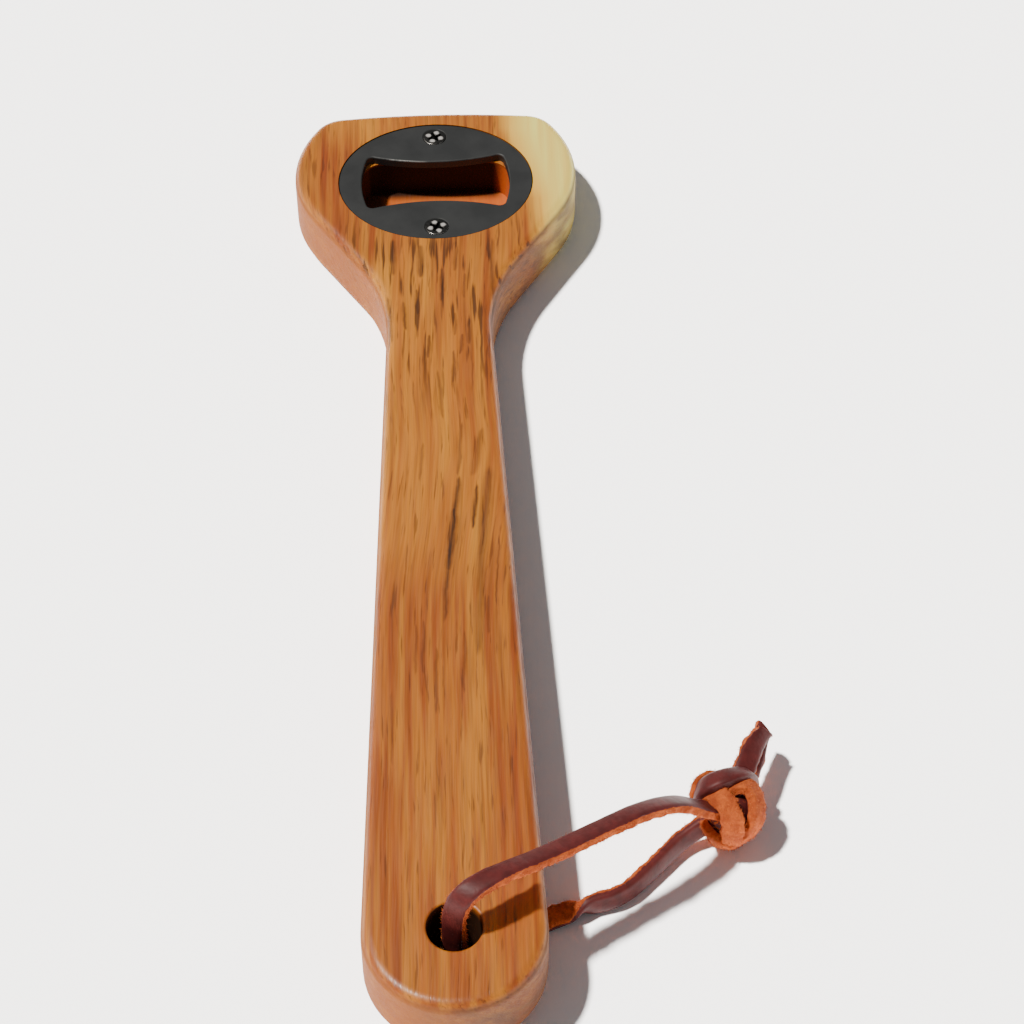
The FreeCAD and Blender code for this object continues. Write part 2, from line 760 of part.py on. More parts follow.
opener = opener_placement()
wood_body = make_wood_body()
wood_body.Placement = opener
opener_plate = make_opener_plate()
opener_plate.Placement = opener.multiply(Placement(Vector(0, plate_along, recess_floor), Rotation()))
nodes = [wood_body, opener_plate]
screw_face = size("body_thick") - size("plate_set_back")
for label, sign, cross_turn in (
    ("screw_head_side", 1, HEAD_SIDE_TURN),
    ("screw_handle_side", -1, HANDLE_SIDE_TURN),
):
    screw = make_screw(label)
    seat = Vector(0, plate_along + sign * size("screw_spacing") / 2, screw_face)
    screw.Placement = opener.multiply(Placement(seat, Rotation(Vector(0, 0, 1), cross_turn)))
    nodes.append(screw)

hole_middle = opener.multVec(Vector(0, size("lanyard_hole_from_end"), size("body_thick") / 2))
nodes += make_lace(Vector(hole_middle.x, hole_middle.y, 0))
doc.recompute()

for item in doc.Objects:
    if "Invalid" in item.State or "Error" in item.State:
        raise RuntimeError("%s failed: %s" % (item.Label, item.State))
os.makedirs("parts", exist_ok=True)
for node in nodes:
    shape = node.Shape
    if shape.isNull() or not shape.isValid():
        raise RuntimeError("%s has no valid shape" % node.Label)
    print("%s: %d solid, %.1f mm3" % (node.Label, len(shape.Solids), shape.Volume))
for node in nodes:
    node.Shape.exportStep("parts/%s.step" % node.Label)
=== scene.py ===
"""Looks of a wooden bottle opener: finishes, screws, leather wrist lace with its knot, and the studio."""

import json
import logging
import math
from dataclasses import dataclass
from enum import Enum
from typing import ClassVar

import bmesh
import bpy
from mathutils import Matrix, Vector, noise


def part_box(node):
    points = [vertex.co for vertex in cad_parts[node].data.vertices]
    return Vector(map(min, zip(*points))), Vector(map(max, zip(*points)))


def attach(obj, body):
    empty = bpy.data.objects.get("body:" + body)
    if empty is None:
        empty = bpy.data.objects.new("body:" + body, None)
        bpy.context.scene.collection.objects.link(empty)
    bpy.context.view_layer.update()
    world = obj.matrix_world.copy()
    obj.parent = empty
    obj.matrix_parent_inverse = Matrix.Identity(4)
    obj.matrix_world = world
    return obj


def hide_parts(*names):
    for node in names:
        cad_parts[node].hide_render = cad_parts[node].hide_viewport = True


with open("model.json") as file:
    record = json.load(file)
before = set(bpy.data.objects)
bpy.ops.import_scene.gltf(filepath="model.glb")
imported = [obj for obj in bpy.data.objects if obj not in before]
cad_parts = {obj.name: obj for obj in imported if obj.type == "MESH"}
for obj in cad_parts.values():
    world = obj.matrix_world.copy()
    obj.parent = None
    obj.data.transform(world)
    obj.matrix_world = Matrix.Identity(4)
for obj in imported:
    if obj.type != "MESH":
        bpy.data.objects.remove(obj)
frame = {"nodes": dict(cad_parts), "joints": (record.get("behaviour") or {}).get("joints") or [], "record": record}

LOG = logging.getLogger("bottle_opener")
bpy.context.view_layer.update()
MM = 0.001
HALF_THICKNESS = 7.5 * MM
LACE_UV = "lace"
HEAD_UV = "head"
FLESH = "flesh"

Colour = tuple[float, float, float, float]
Point = tuple[float, float, float]
Stops = tuple[tuple[float, float], ...]
Material = bpy.types.Material
Mesh = bpy.types.Mesh
Node = bpy.types.Node
Piece = bpy.types.Object
Socket = bpy.types.NodeSocket
Tree = bpy.types.NodeTree
Value = Socket | float | tuple[float, ...]


def paint(red: int, green: int, blue: int) -> Colour:
    """A linear colour from display values of 0 to 255.

    Args:
        red: display red.
        green: display green.
        blue: display blue.

    Returns:
        The colour that a shader socket takes, with full alpha.
    """
    levels = [v / 255 for v in (red, green, blue)]
    linear = [v / 12.92 if v <= 0.04045 else ((v + 0.055) / 1.055) ** 2.4 for v in levels]
    return (linear[0], linear[1], linear[2], 1.0)


def smoothstep(low: float, high: float, value: float) -> float:
    """0 below low, 1 above high and a smooth rise between them."""
    share = min(1.0, max(0.0, (value - low) / (high - low)))
    return share * share * (3 - 2 * share)


def lanyard_pivot() -> Vector:
    """The middle of the lanyard hole, which the lace swings about."""
    joint = next(j for j in frame["joints"] if j["name"] == "lanyard_swing")
    return Vector(joint["pos_m"])


# ---------------------------------------------------------------- nodes


class Graph:
    """A short way to add and join the nodes of one shader or geometry tree."""

    def __init__(self, tree: Tree) -> None:
        """Keep the tree that the nodes go into."""
        self.tree = tree

    def add(self, kind: str, inputs: dict | None = None, **settings: object) -> Node:
        """Add a node.

        Args:
            kind: the node's type name.
            inputs: values or sockets to join, by input name or number.
            settings: the node's own properties.

        Returns:
            The new node.
        """
        node = self.tree.nodes.new(kind)
        for key, value in settings.items():
            setattr(node, key, value)
        self.fill(node, inputs or {})
        return node

    def fill(self, node: Node, inputs: dict) -> None:
        """Join or set several inputs of a node, by name or number."""
        for key, value in inputs.items():
            self.feed(node.inputs[key], value)

    def feed(self, socket: Socket, value: Value) -> None:
        """Join a socket to an input, or set the input's value.

        Args:
            socket: the input.
            value: the socket to join, or the plain value to set.
        """
        if isinstance(value, Socket):
            self.tree.links.new(value, socket)
        else:
            socket.default_value = value

    def math(self, operation: str, *values: Value) -> Socket:
        """The result of a Math node on up to three values or sockets."""
        return self.add("ShaderNodeMath", dict(enumerate(values)), operation=operation).outputs[0]

    def times(self, first: Value, *others: Value) -> Value:
        """The product of all the values.

        Args:
            first: the first value.
            others: what it is multiplied by, one after the other.

        Returns:
            The product's socket.
        """
        for other in others:
            first = self.math("MULTIPLY", first, other)
        return first

    def minus(self, first: Value, second: Value) -> Socket:
        """The first value less the second."""
        return self.math("SUBTRACT", first, second)

    def smooth(self, value: Value, low: float, high: float) -> Socket:
        """A smooth rise from 0 to 1 as the value goes from low to high."""
        inputs = {0: value, 1: low, 2: high}
        return self.add("ShaderNodeMapRange", inputs, interpolation_type="SMOOTHSTEP").outputs[0]

    def fit(self, value: Value, first: float, last: float) -> Socket:
        """The value's range from 0 to 1, mapped to first to last."""
        return self.add("ShaderNodeMapRange", {0: value, 1: 0.0, 2: 1.0, 3: first, 4: last}).outputs[0]

    def mix(self, factor: Value, first: Value, second: Value) -> Socket:
        """A colour between two colours."""
        inputs = {0: factor, 6: first, 7: second}
        return self.add("ShaderNodeMix", inputs, data_type="RGBA").outputs[2]

    def apart(self, first: Value, second: Value) -> Socket:
        """The distance between two points."""
        return self.add("ShaderNodeVectorMath", {0: first, 1: second}, operation="DISTANCE").outputs["Value"]

    def bump(self, height: Value, strength: float, distance: float) -> Socket:
        """A normal roughened by a height."""
        inputs = {"Height": height, "Strength": strength, "Distance": distance}
        return self.add("ShaderNodeBump", inputs).outputs[0]

    def group(self, tree: Tree, inputs: dict) -> Socket:
        """Place a shader group with its own values.

        Args:
            tree: the group.
            inputs: values or sockets to join, by input name.

        Returns:
            The group's mask.
        """
        node = self.add("ShaderNodeGroup", node_tree=tree)
        self.fill(node, inputs)
        return node.outputs[0]


def new_group(name: str, inputs: dict[str, Value]) -> tuple[Graph, Node, Node]:
    """Start a shader node group that puts out one mask.

    Args:
        name: the group's name.
        inputs: each input's name and default value; a 3-tuple makes a vector.

    Returns:
        The graph, its input node and its output node.
    """
    tree = bpy.data.node_groups.new(name, "ShaderNodeTree")
    for key, value in inputs.items():
        kind = "NodeSocketVector" if isinstance(value, tuple) else "NodeSocketFloat"
        tree.interface.new_socket(key, in_out="INPUT", socket_type=kind).default_value = value
    tree.interface.new_socket("Mask", in_out="OUTPUT", socket_type="NodeSocketFloat")
    graph = Graph(tree)
    return graph, graph.add("NodeGroupInput"), graph.add("NodeGroupOutput")


def make_mottle() -> Tree:
    """An even, cloudy mask: the small unevenness of any finish.

    Returns:
        The group.
    """
    inputs = {"Vector": (0.0, 0.0, 0.0), "Scale": 1000.0, "Low": 0.35, "High": 0.65}
    graph, ins, outs = new_group("mottle", inputs)
    where, scale, low, high = ins.outputs[:4]
    cloud = graph.add("ShaderNodeTexNoise", {"Vector": where, "Scale": scale, "Detail": 4.0})
    mask = graph.add("ShaderNodeMapRange", {0: cloud.outputs[0], 1: low, 2: high})
    graph.feed(outs.inputs[0], mask.outputs[0])
    return graph.tree


def make_streaks() -> Tree:
    """Marks drawn out along Y: grain and pores in wood, creases in leather.

    Returns:
        The group.
    """
    numbers = {"Across": 500.0, "Along": 20.0, "Seed": 0.0, "Low": 0.4, "High": 0.6}
    graph, ins, outs = new_group("streaks", {"Vector": (0.0, 0.0, 0.0), **numbers})
    where, across, along, seed, low, high = ins.outputs[:6]
    stretch = graph.add("ShaderNodeCombineXYZ", {0: across, 1: along, 2: across}).outputs[0]
    drawn = graph.add("ShaderNodeVectorMath", {0: where, 1: stretch}, operation="MULTIPLY").outputs[0]
    shifted = graph.add("ShaderNodeVectorMath", {0: drawn, 1: seed}, operation="ADD").outputs[0]
    cloud = graph.add("ShaderNodeTexNoise", {"Vector": shifted, "Scale": 1.0, "Detail": 2.5}).outputs[0]
    graph.feed(outs.inputs[0], graph.smooth(cloud, low, high))
    return graph.tree


def make_vein() -> Tree:
    """One dark vein, from one point of the face to another.

    Returns:
        The group.
    """
    ends = {"First X": 0.0, "First Y": 0.0, "Last X": 0.0, "Last Y": -0.01}
    graph, ins, outs = new_group("vein", {"Vector": (0.0, 0.0, 0.0), **ends, "Width": 0.0005})
    where, first_x, first_y, last_x, last_y, width = ins.outputs[:6]
    parts = graph.add("ShaderNodeSeparateXYZ", {0: where})
    share = graph.math("DIVIDE", graph.minus(parts.outputs[1], first_y), graph.minus(last_y, first_y))
    place = graph.math("MULTIPLY_ADD", graph.minus(last_x, first_x), share, first_x)
    arch = graph.minus(share, graph.times(share, share))
    thin = graph.math("SQRT", graph.math("MAXIMUM", arch, 0.0))
    reach = graph.math("MAXIMUM", graph.times(width, thin, 2.0), 1e-6)
    off = graph.math("DIVIDE", graph.minus(parts.outputs[0], place), reach)
    bell = graph.math("EXPONENT", graph.times(off, off, -1.0))
    window = graph.smooth(graph.math("MINIMUM", share, graph.minus(1.0, share)), 0.0, 0.1)
    graph.feed(outs.inputs[0], graph.times(bell, window))
    return graph.tree


@dataclass(frozen=True)
class Effects:
    """The shader groups that the finishes share."""

    mottle: Tree
    streaks: Tree
    vein: Tree

    @classmethod
    def build(cls) -> "Effects":
        """Make each group once."""
        return cls(make_mottle(), make_streaks(), make_vein())

    def cloud(self, graph: Graph, where: Socket, scale: float) -> Socket:
        """The cloudy mask at one scale."""
        return graph.group(self.mottle, {"Vector": where, "Scale": scale})

    def streak(self, graph: Graph, where: Socket, *layer: float) -> Socket:
        """One layer of streaks: how fine across and along, its seed, and its mask's low and high."""
        numbers = zip(("Across", "Along", "Seed", "Low", "High"), layer)
        return graph.group(self.streaks, {"Vector": where, **dict(numbers)})


def new_material(name: str) -> tuple[Material, Graph, Node]:
    """Start a material.

    Args:
        name: the material's name.

    Returns:
        The material, its graph and its Principled shader.
    """
    material = bpy.data.materials.new(name)
    material.use_nodes = True
    graph = Graph(material.node_tree)
    return material, graph, material.node_tree.nodes["Principled BSDF"]


# ---------------------------------------------------------------- finishes


@dataclass(frozen=True)
class Vein:
    """One dark vein in the wood: its two ends on the face and its half width, in mm, and its strength."""

    first: tuple[float, float]
    last: tuple[float, float]
    width: float
    depth: float


VEINS = (
    Vein((3.5, 4.0), (1.8, -11.0), 0.6, 0.85),
    Vein((2.5, -4.0), (0.4, -24.0), 0.85, 1.0),
    Vein((1.2, -14.0), (-0.6, -37.0), 0.55, 0.7),
    Vein((7.2, 1.5), (5.8, -12.0), 0.5, 0.95),
    Vein((9.9, 7.0), (7.2, -21.0), 1.3, 0.6),
    Vein((7.9, -12.0), (6.0, -46.0), 1.1, 0.55),
    Vein((11.3, -13.0), (10.0, -33.0), 0.25, 0.7),
    Vein((4.3, 20.0), (3.1, 3.0), 0.5, 0.6),
    Vein((8.8, 18.0), (6.2, 3.0), 0.9, 0.45),
    Vein((-0.6, 36.0), (0.3, 20.0), 0.5, 0.55),
    Vein((3.2, 42.0), (2.6, 31.0), 0.4, 0.6),
    Vein((-2.2, 47.0), (-2.7, 39.0), 0.45, 0.7),
    Vein((5.2, 47.0), (4.5, 40.0), 0.45, 0.6),
    Vein((-4.2, 14.0), (-4.9, 2.0), 0.35, 0.4),
    Vein((-4.6, -35.0), (-5.0, -50.0), 0.45, 0.55),
    Vein((-6.2, -36.0), (-6.5, -50.0), 0.35, 0.4),
    Vein((-2.1, -42.0), (-2.6, -60.0), 0.4, 0.5),
    Vein((3.6, -38.0), (3.1, -55.0), 0.4, 0.5),
    Vein((8.5, -29.0), (8.1, -40.0), 0.45, 0.5),
    Vein((-11.2, -53.0), (-11.1, -72.0), 0.4, 0.35),
    Vein((-10.0, 79.0), (-10.3, 66.0), 0.7, 0.6),
    Vein((-3.8, 77.0), (-4.0, 65.0), 0.9, 0.7),
    Vein((4.3, 78.0), (3.8, 67.0), 0.6, 0.55),
    Vein((12.5, 79.0), (12.3, 57.0), 0.7, 0.6),
    Vein((1.0, 69.0), (0.6, 57.0), 0.6, 0.7),
    Vein((-4.9, 62.0), (-4.9, 53.0), 0.5, 0.7),
    Vein((-8.1, 58.0), (-7.4, 48.0), 0.5, 0.75),
    Vein((6.2, 67.0), (5.8, 58.0), 0.4, 0.5),
    Vein((6.8, 52.0), (6.4, 43.0), 0.5, 0.6),
    Vein((-11.5, 60.0), (-10.7, 44.0), 0.6, 0.6),
    Vein((3.5, 54.0), (3.4, 46.0), 0.4, 0.55),
)


@dataclass(frozen=True)
class WoodPlace:
    """Where a point of the wood is in Object coordinates, and where it is in the straightened grain."""

    graph: Graph
    where: Socket
    across: Socket
    along: Socket
    up: Socket
    grain: Socket

    @classmethod
    def read(cls, graph: Graph, where: Socket) -> "WoodPlace":
        """Take a point apart, and take the lean and the waviness out of the grain.

        Args:
            graph: the material's graph.
            where: the point's Object coordinates.

        Returns:
            The place.
        """
        across, along, up = graph.add("ShaderNodeSeparateXYZ", {0: where}).outputs
        lean = graph.times(graph.smooth(along, -44 * MM, 16 * MM), 3.6 * MM)
        wave = graph.add("ShaderNodeTexNoise", {"Vector": where, "Scale": 24.0, "Detail": 1.0}).outputs[0]
        wander = graph.times(graph.minus(wave, 0.5), 3.0 * MM)
        straight = graph.minus(graph.math("ADD", across, wander), lean)
        leaning = graph.math("MULTIPLY_ADD", up, 0.55, straight)
        grain = graph.add("ShaderNodeCombineXYZ", {0: leaning, 1: along, 2: up}).outputs[0]
        return cls(graph, where, across, along, up, grain)

    def away_from(self, x: float, y: float) -> Socket:
        """How far a place is from an upright line at x and y."""
        flat = self.graph.add("ShaderNodeCombineXYZ", {0: self.across, 1: self.along}).outputs[0]
        return self.graph.apart(flat, (x, y, 0.0))

    def patch(self, x: float, y: float, reach: float) -> Socket:
        """A soft round zone on the face, placed and sized in mm."""
        return self.graph.smooth(self.away_from(x * MM, y * MM), reach * MM, 0.3 * reach * MM)


@dataclass(frozen=True)
class OiledWood:
    """Satin hardwood: golden heartwood with red zones, dark veins, pores and pale sapwood."""

    effects: Effects
    pocket_box: tuple[Vector, Vector]
    hole: Vector
    golden: Colour = paint(214, 138, 42)
    tawny: Colour = paint(184, 98, 30)
    russet: Colour = paint(150, 66, 20)
    umber: Colour = paint(60, 30, 12)
    sapwood: Colour = paint(242, 180, 70)
    pale: Colour = paint(255, 240, 122)
    # Near black: painted shade in the routed pocket and inside the lanyard hole.
    painted_shade: Colour = paint(24, 19, 16)
    fresh_cut: Colour = paint(214, 104, 44)
    # Wall tones: partly painted shade; the grey one is a painted reflection of the floor on right-facing walls.
    shaded_tan_wall: Colour = paint(142, 78, 30)
    reflected_grey_wall: Colour = paint(84, 58, 44)

    def build(self) -> Material:
        """Make the material.

        Returns:
            The wood material, on Object coordinates.
        """
        material, graph, shader = new_material("oiled_wood")
        coords = graph.add("ShaderNodeTexCoord")
        at = WoodPlace.read(graph, coords.outputs["Object"])
        pores = self._pores(at)
        colour = graph.mix(graph.times(pores, 0.8), self._heartwood(at), self.umber)
        colour = self._add_veins(at, colour)
        colour = self._add_sapwood(at, colour)
        wall, rightward = self._find_walls(graph, coords.outputs["Normal"])
        colour = self._tint_walls(at, colour, wall, rightward)
        colour = self._shade_pocket(at, colour)
        colour = self._shade_hole(at, colour)
        fibre = self.effects.streak(graph, at.grain, 3200.0, 110.0, 5.5, 0.4, 0.6)
        height = graph.minus(graph.times(fibre, 0.35), pores)
        finish = {
            "Base Color": colour,
            "Roughness": graph.math("MULTIPLY_ADD", wall, 0.3, graph.fit(fibre, 0.33, 0.46)),
            "Specular IOR Level": graph.fit(wall, 0.5, 0.15),
            "Normal": graph.bump(height, 0.25, 0.00012),
        }
        graph.fill(shader, finish)
        return material

    def _find_walls(self, graph: Graph, normal: Socket) -> tuple[Socket, Socket]:
        """Find the sawn walls.

        Args:
            graph: the material's graph.
            normal: the surface's direction.

        Returns:
            How far a place is on the walls, and how far it faces right.
        """
        side, _, upright = graph.add("ShaderNodeSeparateXYZ", {0: normal}).outputs
        wall = graph.times(graph.smooth(upright, 0.8, 0.4), graph.smooth(upright, -0.9, -0.6))
        return wall, graph.smooth(side, -0.75, 0.5)

    def _heartwood(self, at: WoodPlace) -> Socket:
        """Golden to russet colour in broad, medium and fine streaks.

        Args:
            at: the place.

        Returns:
            The heartwood's colour.
        """
        graph = at.graph
        broad = self.effects.streak(graph, at.grain, 170.0, 9.0, 3.1, 0.36, 0.66)
        medium = self.effects.streak(graph, at.grain, 560.0, 20.0, 7.7, 0.4, 0.66)
        narrow = self.effects.streak(graph, at.grain, 1150.0, 30.0, 2.9, 0.5, 0.72)
        fine = self.effects.streak(graph, at.grain, 2400.0, 60.0, 1.3, 0.36, 0.7)
        colour = graph.mix(graph.times(broad, 0.7), self.golden, self.tawny)
        ragged = graph.math("MULTIPLY_ADD", medium, 12 * MM, at.along)
        red_edge = (graph.smooth(at.across, 6 * MM, 14 * MM), graph.smooth(at.along, 30 * MM, 0.0))
        upper_handle = (graph.smooth(at.across, 3 * MM, 9 * MM), graph.smooth(at.along, 2 * MM, 24 * MM))
        zones = (
            (graph.smooth(ragged, -10 * MM, -24 * MM), 0.7),
            (graph.times(*red_edge), 0.55),
            (graph.times(*upper_handle), 0.5),
            (at.patch(-18.0, 80.0, 15.0), 0.85),
            (at.patch(-27.0, 102.0, 22.0), 0.95),
            (at.patch(13.0, 82.0, 12.0), 0.5),
        )
        for zone, strength in zones:
            streaky = graph.times(zone, graph.fit(medium, 0.45 * strength, strength))
            colour = graph.mix(streaky, colour, self.russet)
        for streaks, strength, tone in (
            (medium, 0.42, self.russet),
            (narrow, 0.24, self.umber),
            (fine, 0.2, self.umber),
        ):
            colour = graph.mix(graph.times(streaks, strength), colour, tone)
        return colour

    def _pores(self, at: WoodPlace) -> Socket:
        """Short dark dashes, thickest below the plate.

        Args:
            at: the place.

        Returns:
            How far a place is in a pore.
        """
        graph = at.graph
        dashes = self.effects.streak(graph, at.grain, 1500.0, 95.0, 4.4, 0.58, 0.7)
        coarse = self.effects.streak(graph, at.grain, 820.0, 58.0, 9.2, 0.55, 0.66)
        upper = (graph.smooth(at.along, 16 * MM, 44 * MM), graph.smooth(at.along, 90 * MM, 74 * MM))
        return graph.math("MAXIMUM", graph.times(dashes, 0.6), graph.times(coarse, *upper))

    def _add_veins(self, at: WoodPlace, colour: Socket) -> Socket:
        """The long dark veins, a little unsteady and frayed.

        Args:
            at: the place.
            colour: the wood's colour so far.

        Returns:
            The colour with the veins.
        """
        graph = at.graph
        shake = graph.add("ShaderNodeTexNoise", {"Vector": at.where, "Scale": 190.0, "Detail": 3.0})
        moved = graph.math("MULTIPLY_ADD", graph.minus(shake.outputs[0], 0.5), 1.1 * MM, at.across)
        place = graph.add("ShaderNodeCombineXYZ", {0: moved, 1: at.along, 2: at.up}).outputs[0]
        fray = self.effects.streak(graph, place, 2600.0, 120.0, 8.8, 0.3, 0.62)
        total = 0.0
        for vein in VEINS:
            spans = (*vein.first, *vein.last, vein.width)
            names = ("First X", "First Y", "Last X", "Last Y", "Width")
            values = {name: span * MM for name, span in zip(names, spans)}
            mask = graph.group(self.effects.vein, {"Vector": place, **values})
            total = graph.math("MAXIMUM", total, graph.times(mask, vein.depth))
        near_top = graph.smooth(at.up, 6 * MM, 11 * MM)
        return graph.mix(graph.times(total, graph.fit(fray, 0.72, 1.0), near_top), colour, self.umber)

    def _add_sapwood(self, at: WoodPlace, colour: Socket) -> Socket:
        """Pale sapwood on the right of the head.

        Args:
            at: the place.
            colour: the wood's colour so far.

        Returns:
            The colour with the sapwood.
        """
        graph = at.graph
        edge_range = {0: at.along, 1: 118 * MM, 2: 92 * MM, 3: 16.6 * MM, 4: 23.0 * MM}
        edge = graph.add("ShaderNodeMapRange", edge_range).outputs[0]
        ragged = self.effects.streak(graph, at.grain, 420.0, 16.0, 2.2, 0.3, 0.7)
        past_edge = graph.minus(at.across, edge)
        inside = graph.math("MULTIPLY_ADD", graph.minus(ragged, 0.5), 2.4 * MM, past_edge)
        on_head = graph.smooth(at.along, 70 * MM, 82 * MM)
        mask = graph.times(graph.smooth(inside, -1.6 * MM, 2.6 * MM), on_head)
        deep = graph.times(graph.smooth(inside, 0.5 * MM, 7 * MM), graph.fit(ragged, 1.0, 0.55))
        return graph.mix(mask, colour, graph.mix(deep, self.sapwood, self.pale))

    def _tint_walls(self, at: WoodPlace, colour: Socket, wall: Socket, rightward: Socket) -> Socket:
        """The sawn walls: duller and darker than the faces, the darkness partly painted shade; tan on the left and
        grey on the right, the grey a painted reflection of the bright floor.

        Args:
            at: the place.
            colour: the wood's colour so far.
            wall: how far the place is on a wall.
            rightward: how far it faces right.

        Returns:
            The colour with the walls.
        """
        graph = at.graph
        cloud = self.effects.streak(graph, at.grain, 260.0, 14.0, 6.1, 0.3, 0.7)
        # Painted shade and painted reflection: the walls darken, and the right-facing ones turn grey.
        tone = graph.mix(rightward, self.shaded_tan_wall, self.reflected_grey_wall)
        return graph.mix(graph.times(wall, graph.fit(cloud, 0.7, 0.92)), colour, tone)

    def _shade_pocket(self, at: WoodPlace, colour: Socket) -> Socket:
        """The routed pocket's walls and floor, browned by the cutter and never oiled, with painted shade darkening
        the far wall and the left side.

        Args:
            at: the place.
            colour: the wood's colour so far.

        Returns:
            The colour with the pocket.
        """
        graph = at.graph
        low, high = self.pocket_box
        rim = 0.3 * MM
        mask = graph.times(
            graph.smooth(at.along, low.y, low.y + rim),
            graph.smooth(at.along, high.y, high.y - rim),
            graph.smooth(graph.math("ABSOLUTE", at.across), high.x, high.x - rim),
            graph.smooth(at.up, high.z, high.z - 2 * rim),
        )
        # Painted shade: the pocket's far wall and its left side go near black where shade falls.
        far = graph.smooth(at.along, high.y - 5 * MM, high.y - 1.5 * MM)
        far = graph.times(far, graph.smooth(at.across, 17 * MM, 13.5 * MM))
        left = graph.times(graph.smooth(at.across, -10 * MM, -14 * MM), 0.9)
        dark = graph.times(graph.math("MAXIMUM", far, left), 0.96)
        colour = graph.mix(graph.times(mask, 0.75), colour, self.fresh_cut)
        return graph.mix(graph.times(mask, dark), colour, self.painted_shade)

    def _shade_hole(self, at: WoodPlace, colour: Socket) -> Socket:
        """The lanyard hole's wall, darkened below its top as painted shade.

        Args:
            at: the place.
            colour: the wood's colour so far.

        Returns:
            The colour with the hole.
        """
        # Painted shade inside the lanyard hole, growing darker below its rim.
        inside = at.graph.smooth(at.away_from(self.hole.x, self.hole.y), 5.7 * MM, 5.3 * MM)
        deep = at.graph.smooth(at.up, self.hole.z - 0.5 * MM, self.hole.z - 2.5 * MM)
        return at.graph.mix(at.graph.times(inside, deep, 0.9), colour, self.painted_shade)


@dataclass(frozen=True)
class CoatedSteel:
    """Matte charcoal coating on steel, worn through on the mouth's far lip."""

    effects: Effects
    worn_at: Vector
    coat: Colour = paint(36, 37, 37)
    dusty: Colour = paint(46, 47, 47)
    bare: Colour = paint(186, 184, 178)

    def build(self) -> Material:
        """Make the material.

        Returns:
            The plate's material, on Object coordinates.
        """
        material, graph, shader = new_material("coated_steel")
        coords = graph.add("ShaderNodeTexCoord")
        where = coords.outputs["Object"]
        cloud = self.effects.cloud(graph, where, 150.0)
        upright = graph.add("ShaderNodeSeparateXYZ", {0: coords.outputs["Normal"]}).outputs[2]
        near = graph.smooth(graph.apart(where, tuple(self.worn_at)), 6.0 * MM, 1.0 * MM)
        worn = graph.times(
            graph.smooth(upright, 0.97, 0.8),
            graph.smooth(upright, 0.05, 0.25),
            graph.group(self.effects.mottle, {"Vector": where, "Scale": 700.0, "Low": 0.3, "High": 0.6}),
            graph.fit(near, 0.05, 1.0),
        )
        coating = graph.mix(graph.times(cloud, 0.5), self.coat, self.dusty)
        finish = {
            "Base Color": graph.mix(worn, coating, self.bare),
            "Metallic": worn,
            "Roughness": graph.math("MULTIPLY_ADD", worn, -0.28, graph.fit(cloud, 0.5, 0.6)),
            "Normal": graph.bump(self.effects.cloud(graph, where, 5200.0), 0.12, 0.00005),
        }
        graph.fill(shader, finish)
        return material


@dataclass(frozen=True)
class NickelWithPaintedGlints:
    """Nickel plating with a dark dull tone that is a painted reflection of dark surroundings, and painted glints
    on the four quarters between the cross's arms.
    """

    effects: Effects
    # Painted glints on the four quarters; the dull tone below is a painted reflection of dark surroundings.
    painted_glint: Colour = paint(246, 240, 232)
    dull: Colour = paint(74, 73, 71)
    grime: Colour = paint(30, 27, 24)

    def build(self) -> Material:
        """Make the material.

        Returns:
            The screws' material, on Object coordinates and the head's UV map.
        """
        material, graph, shader = new_material("nickel_painted_glints")
        where = graph.add("ShaderNodeTexCoord").outputs["Object"]
        cloud = self.effects.cloud(graph, where, 1300.0)
        face = graph.add("ShaderNodeUVMap", uv_map=HEAD_UV).outputs[0]
        folded = graph.add("ShaderNodeVectorMath", {0: face}, operation="ABSOLUTE").outputs[0]
        off = graph.apart(folded, (0.4, 0.4, 0.0))
        # Painted glints: the four quarters between the cross's arms turn near white and less metallic.
        quarter = graph.smooth(graph.math("MULTIPLY_ADD", cloud, 0.08, off), 0.34, 0.16)
        plating = graph.mix(graph.times(cloud, 0.5), self.dull, self.grime)
        finish = {
            "Base Color": graph.mix(quarter, plating, self.painted_glint),
            "Roughness": graph.fit(quarter, 0.42, 0.3),
            "Metallic": graph.fit(quarter, 1.0, 0.6),
            "Normal": graph.bump(cloud, 0.15, 0.00004),
        }
        graph.fill(shader, finish)
        return material


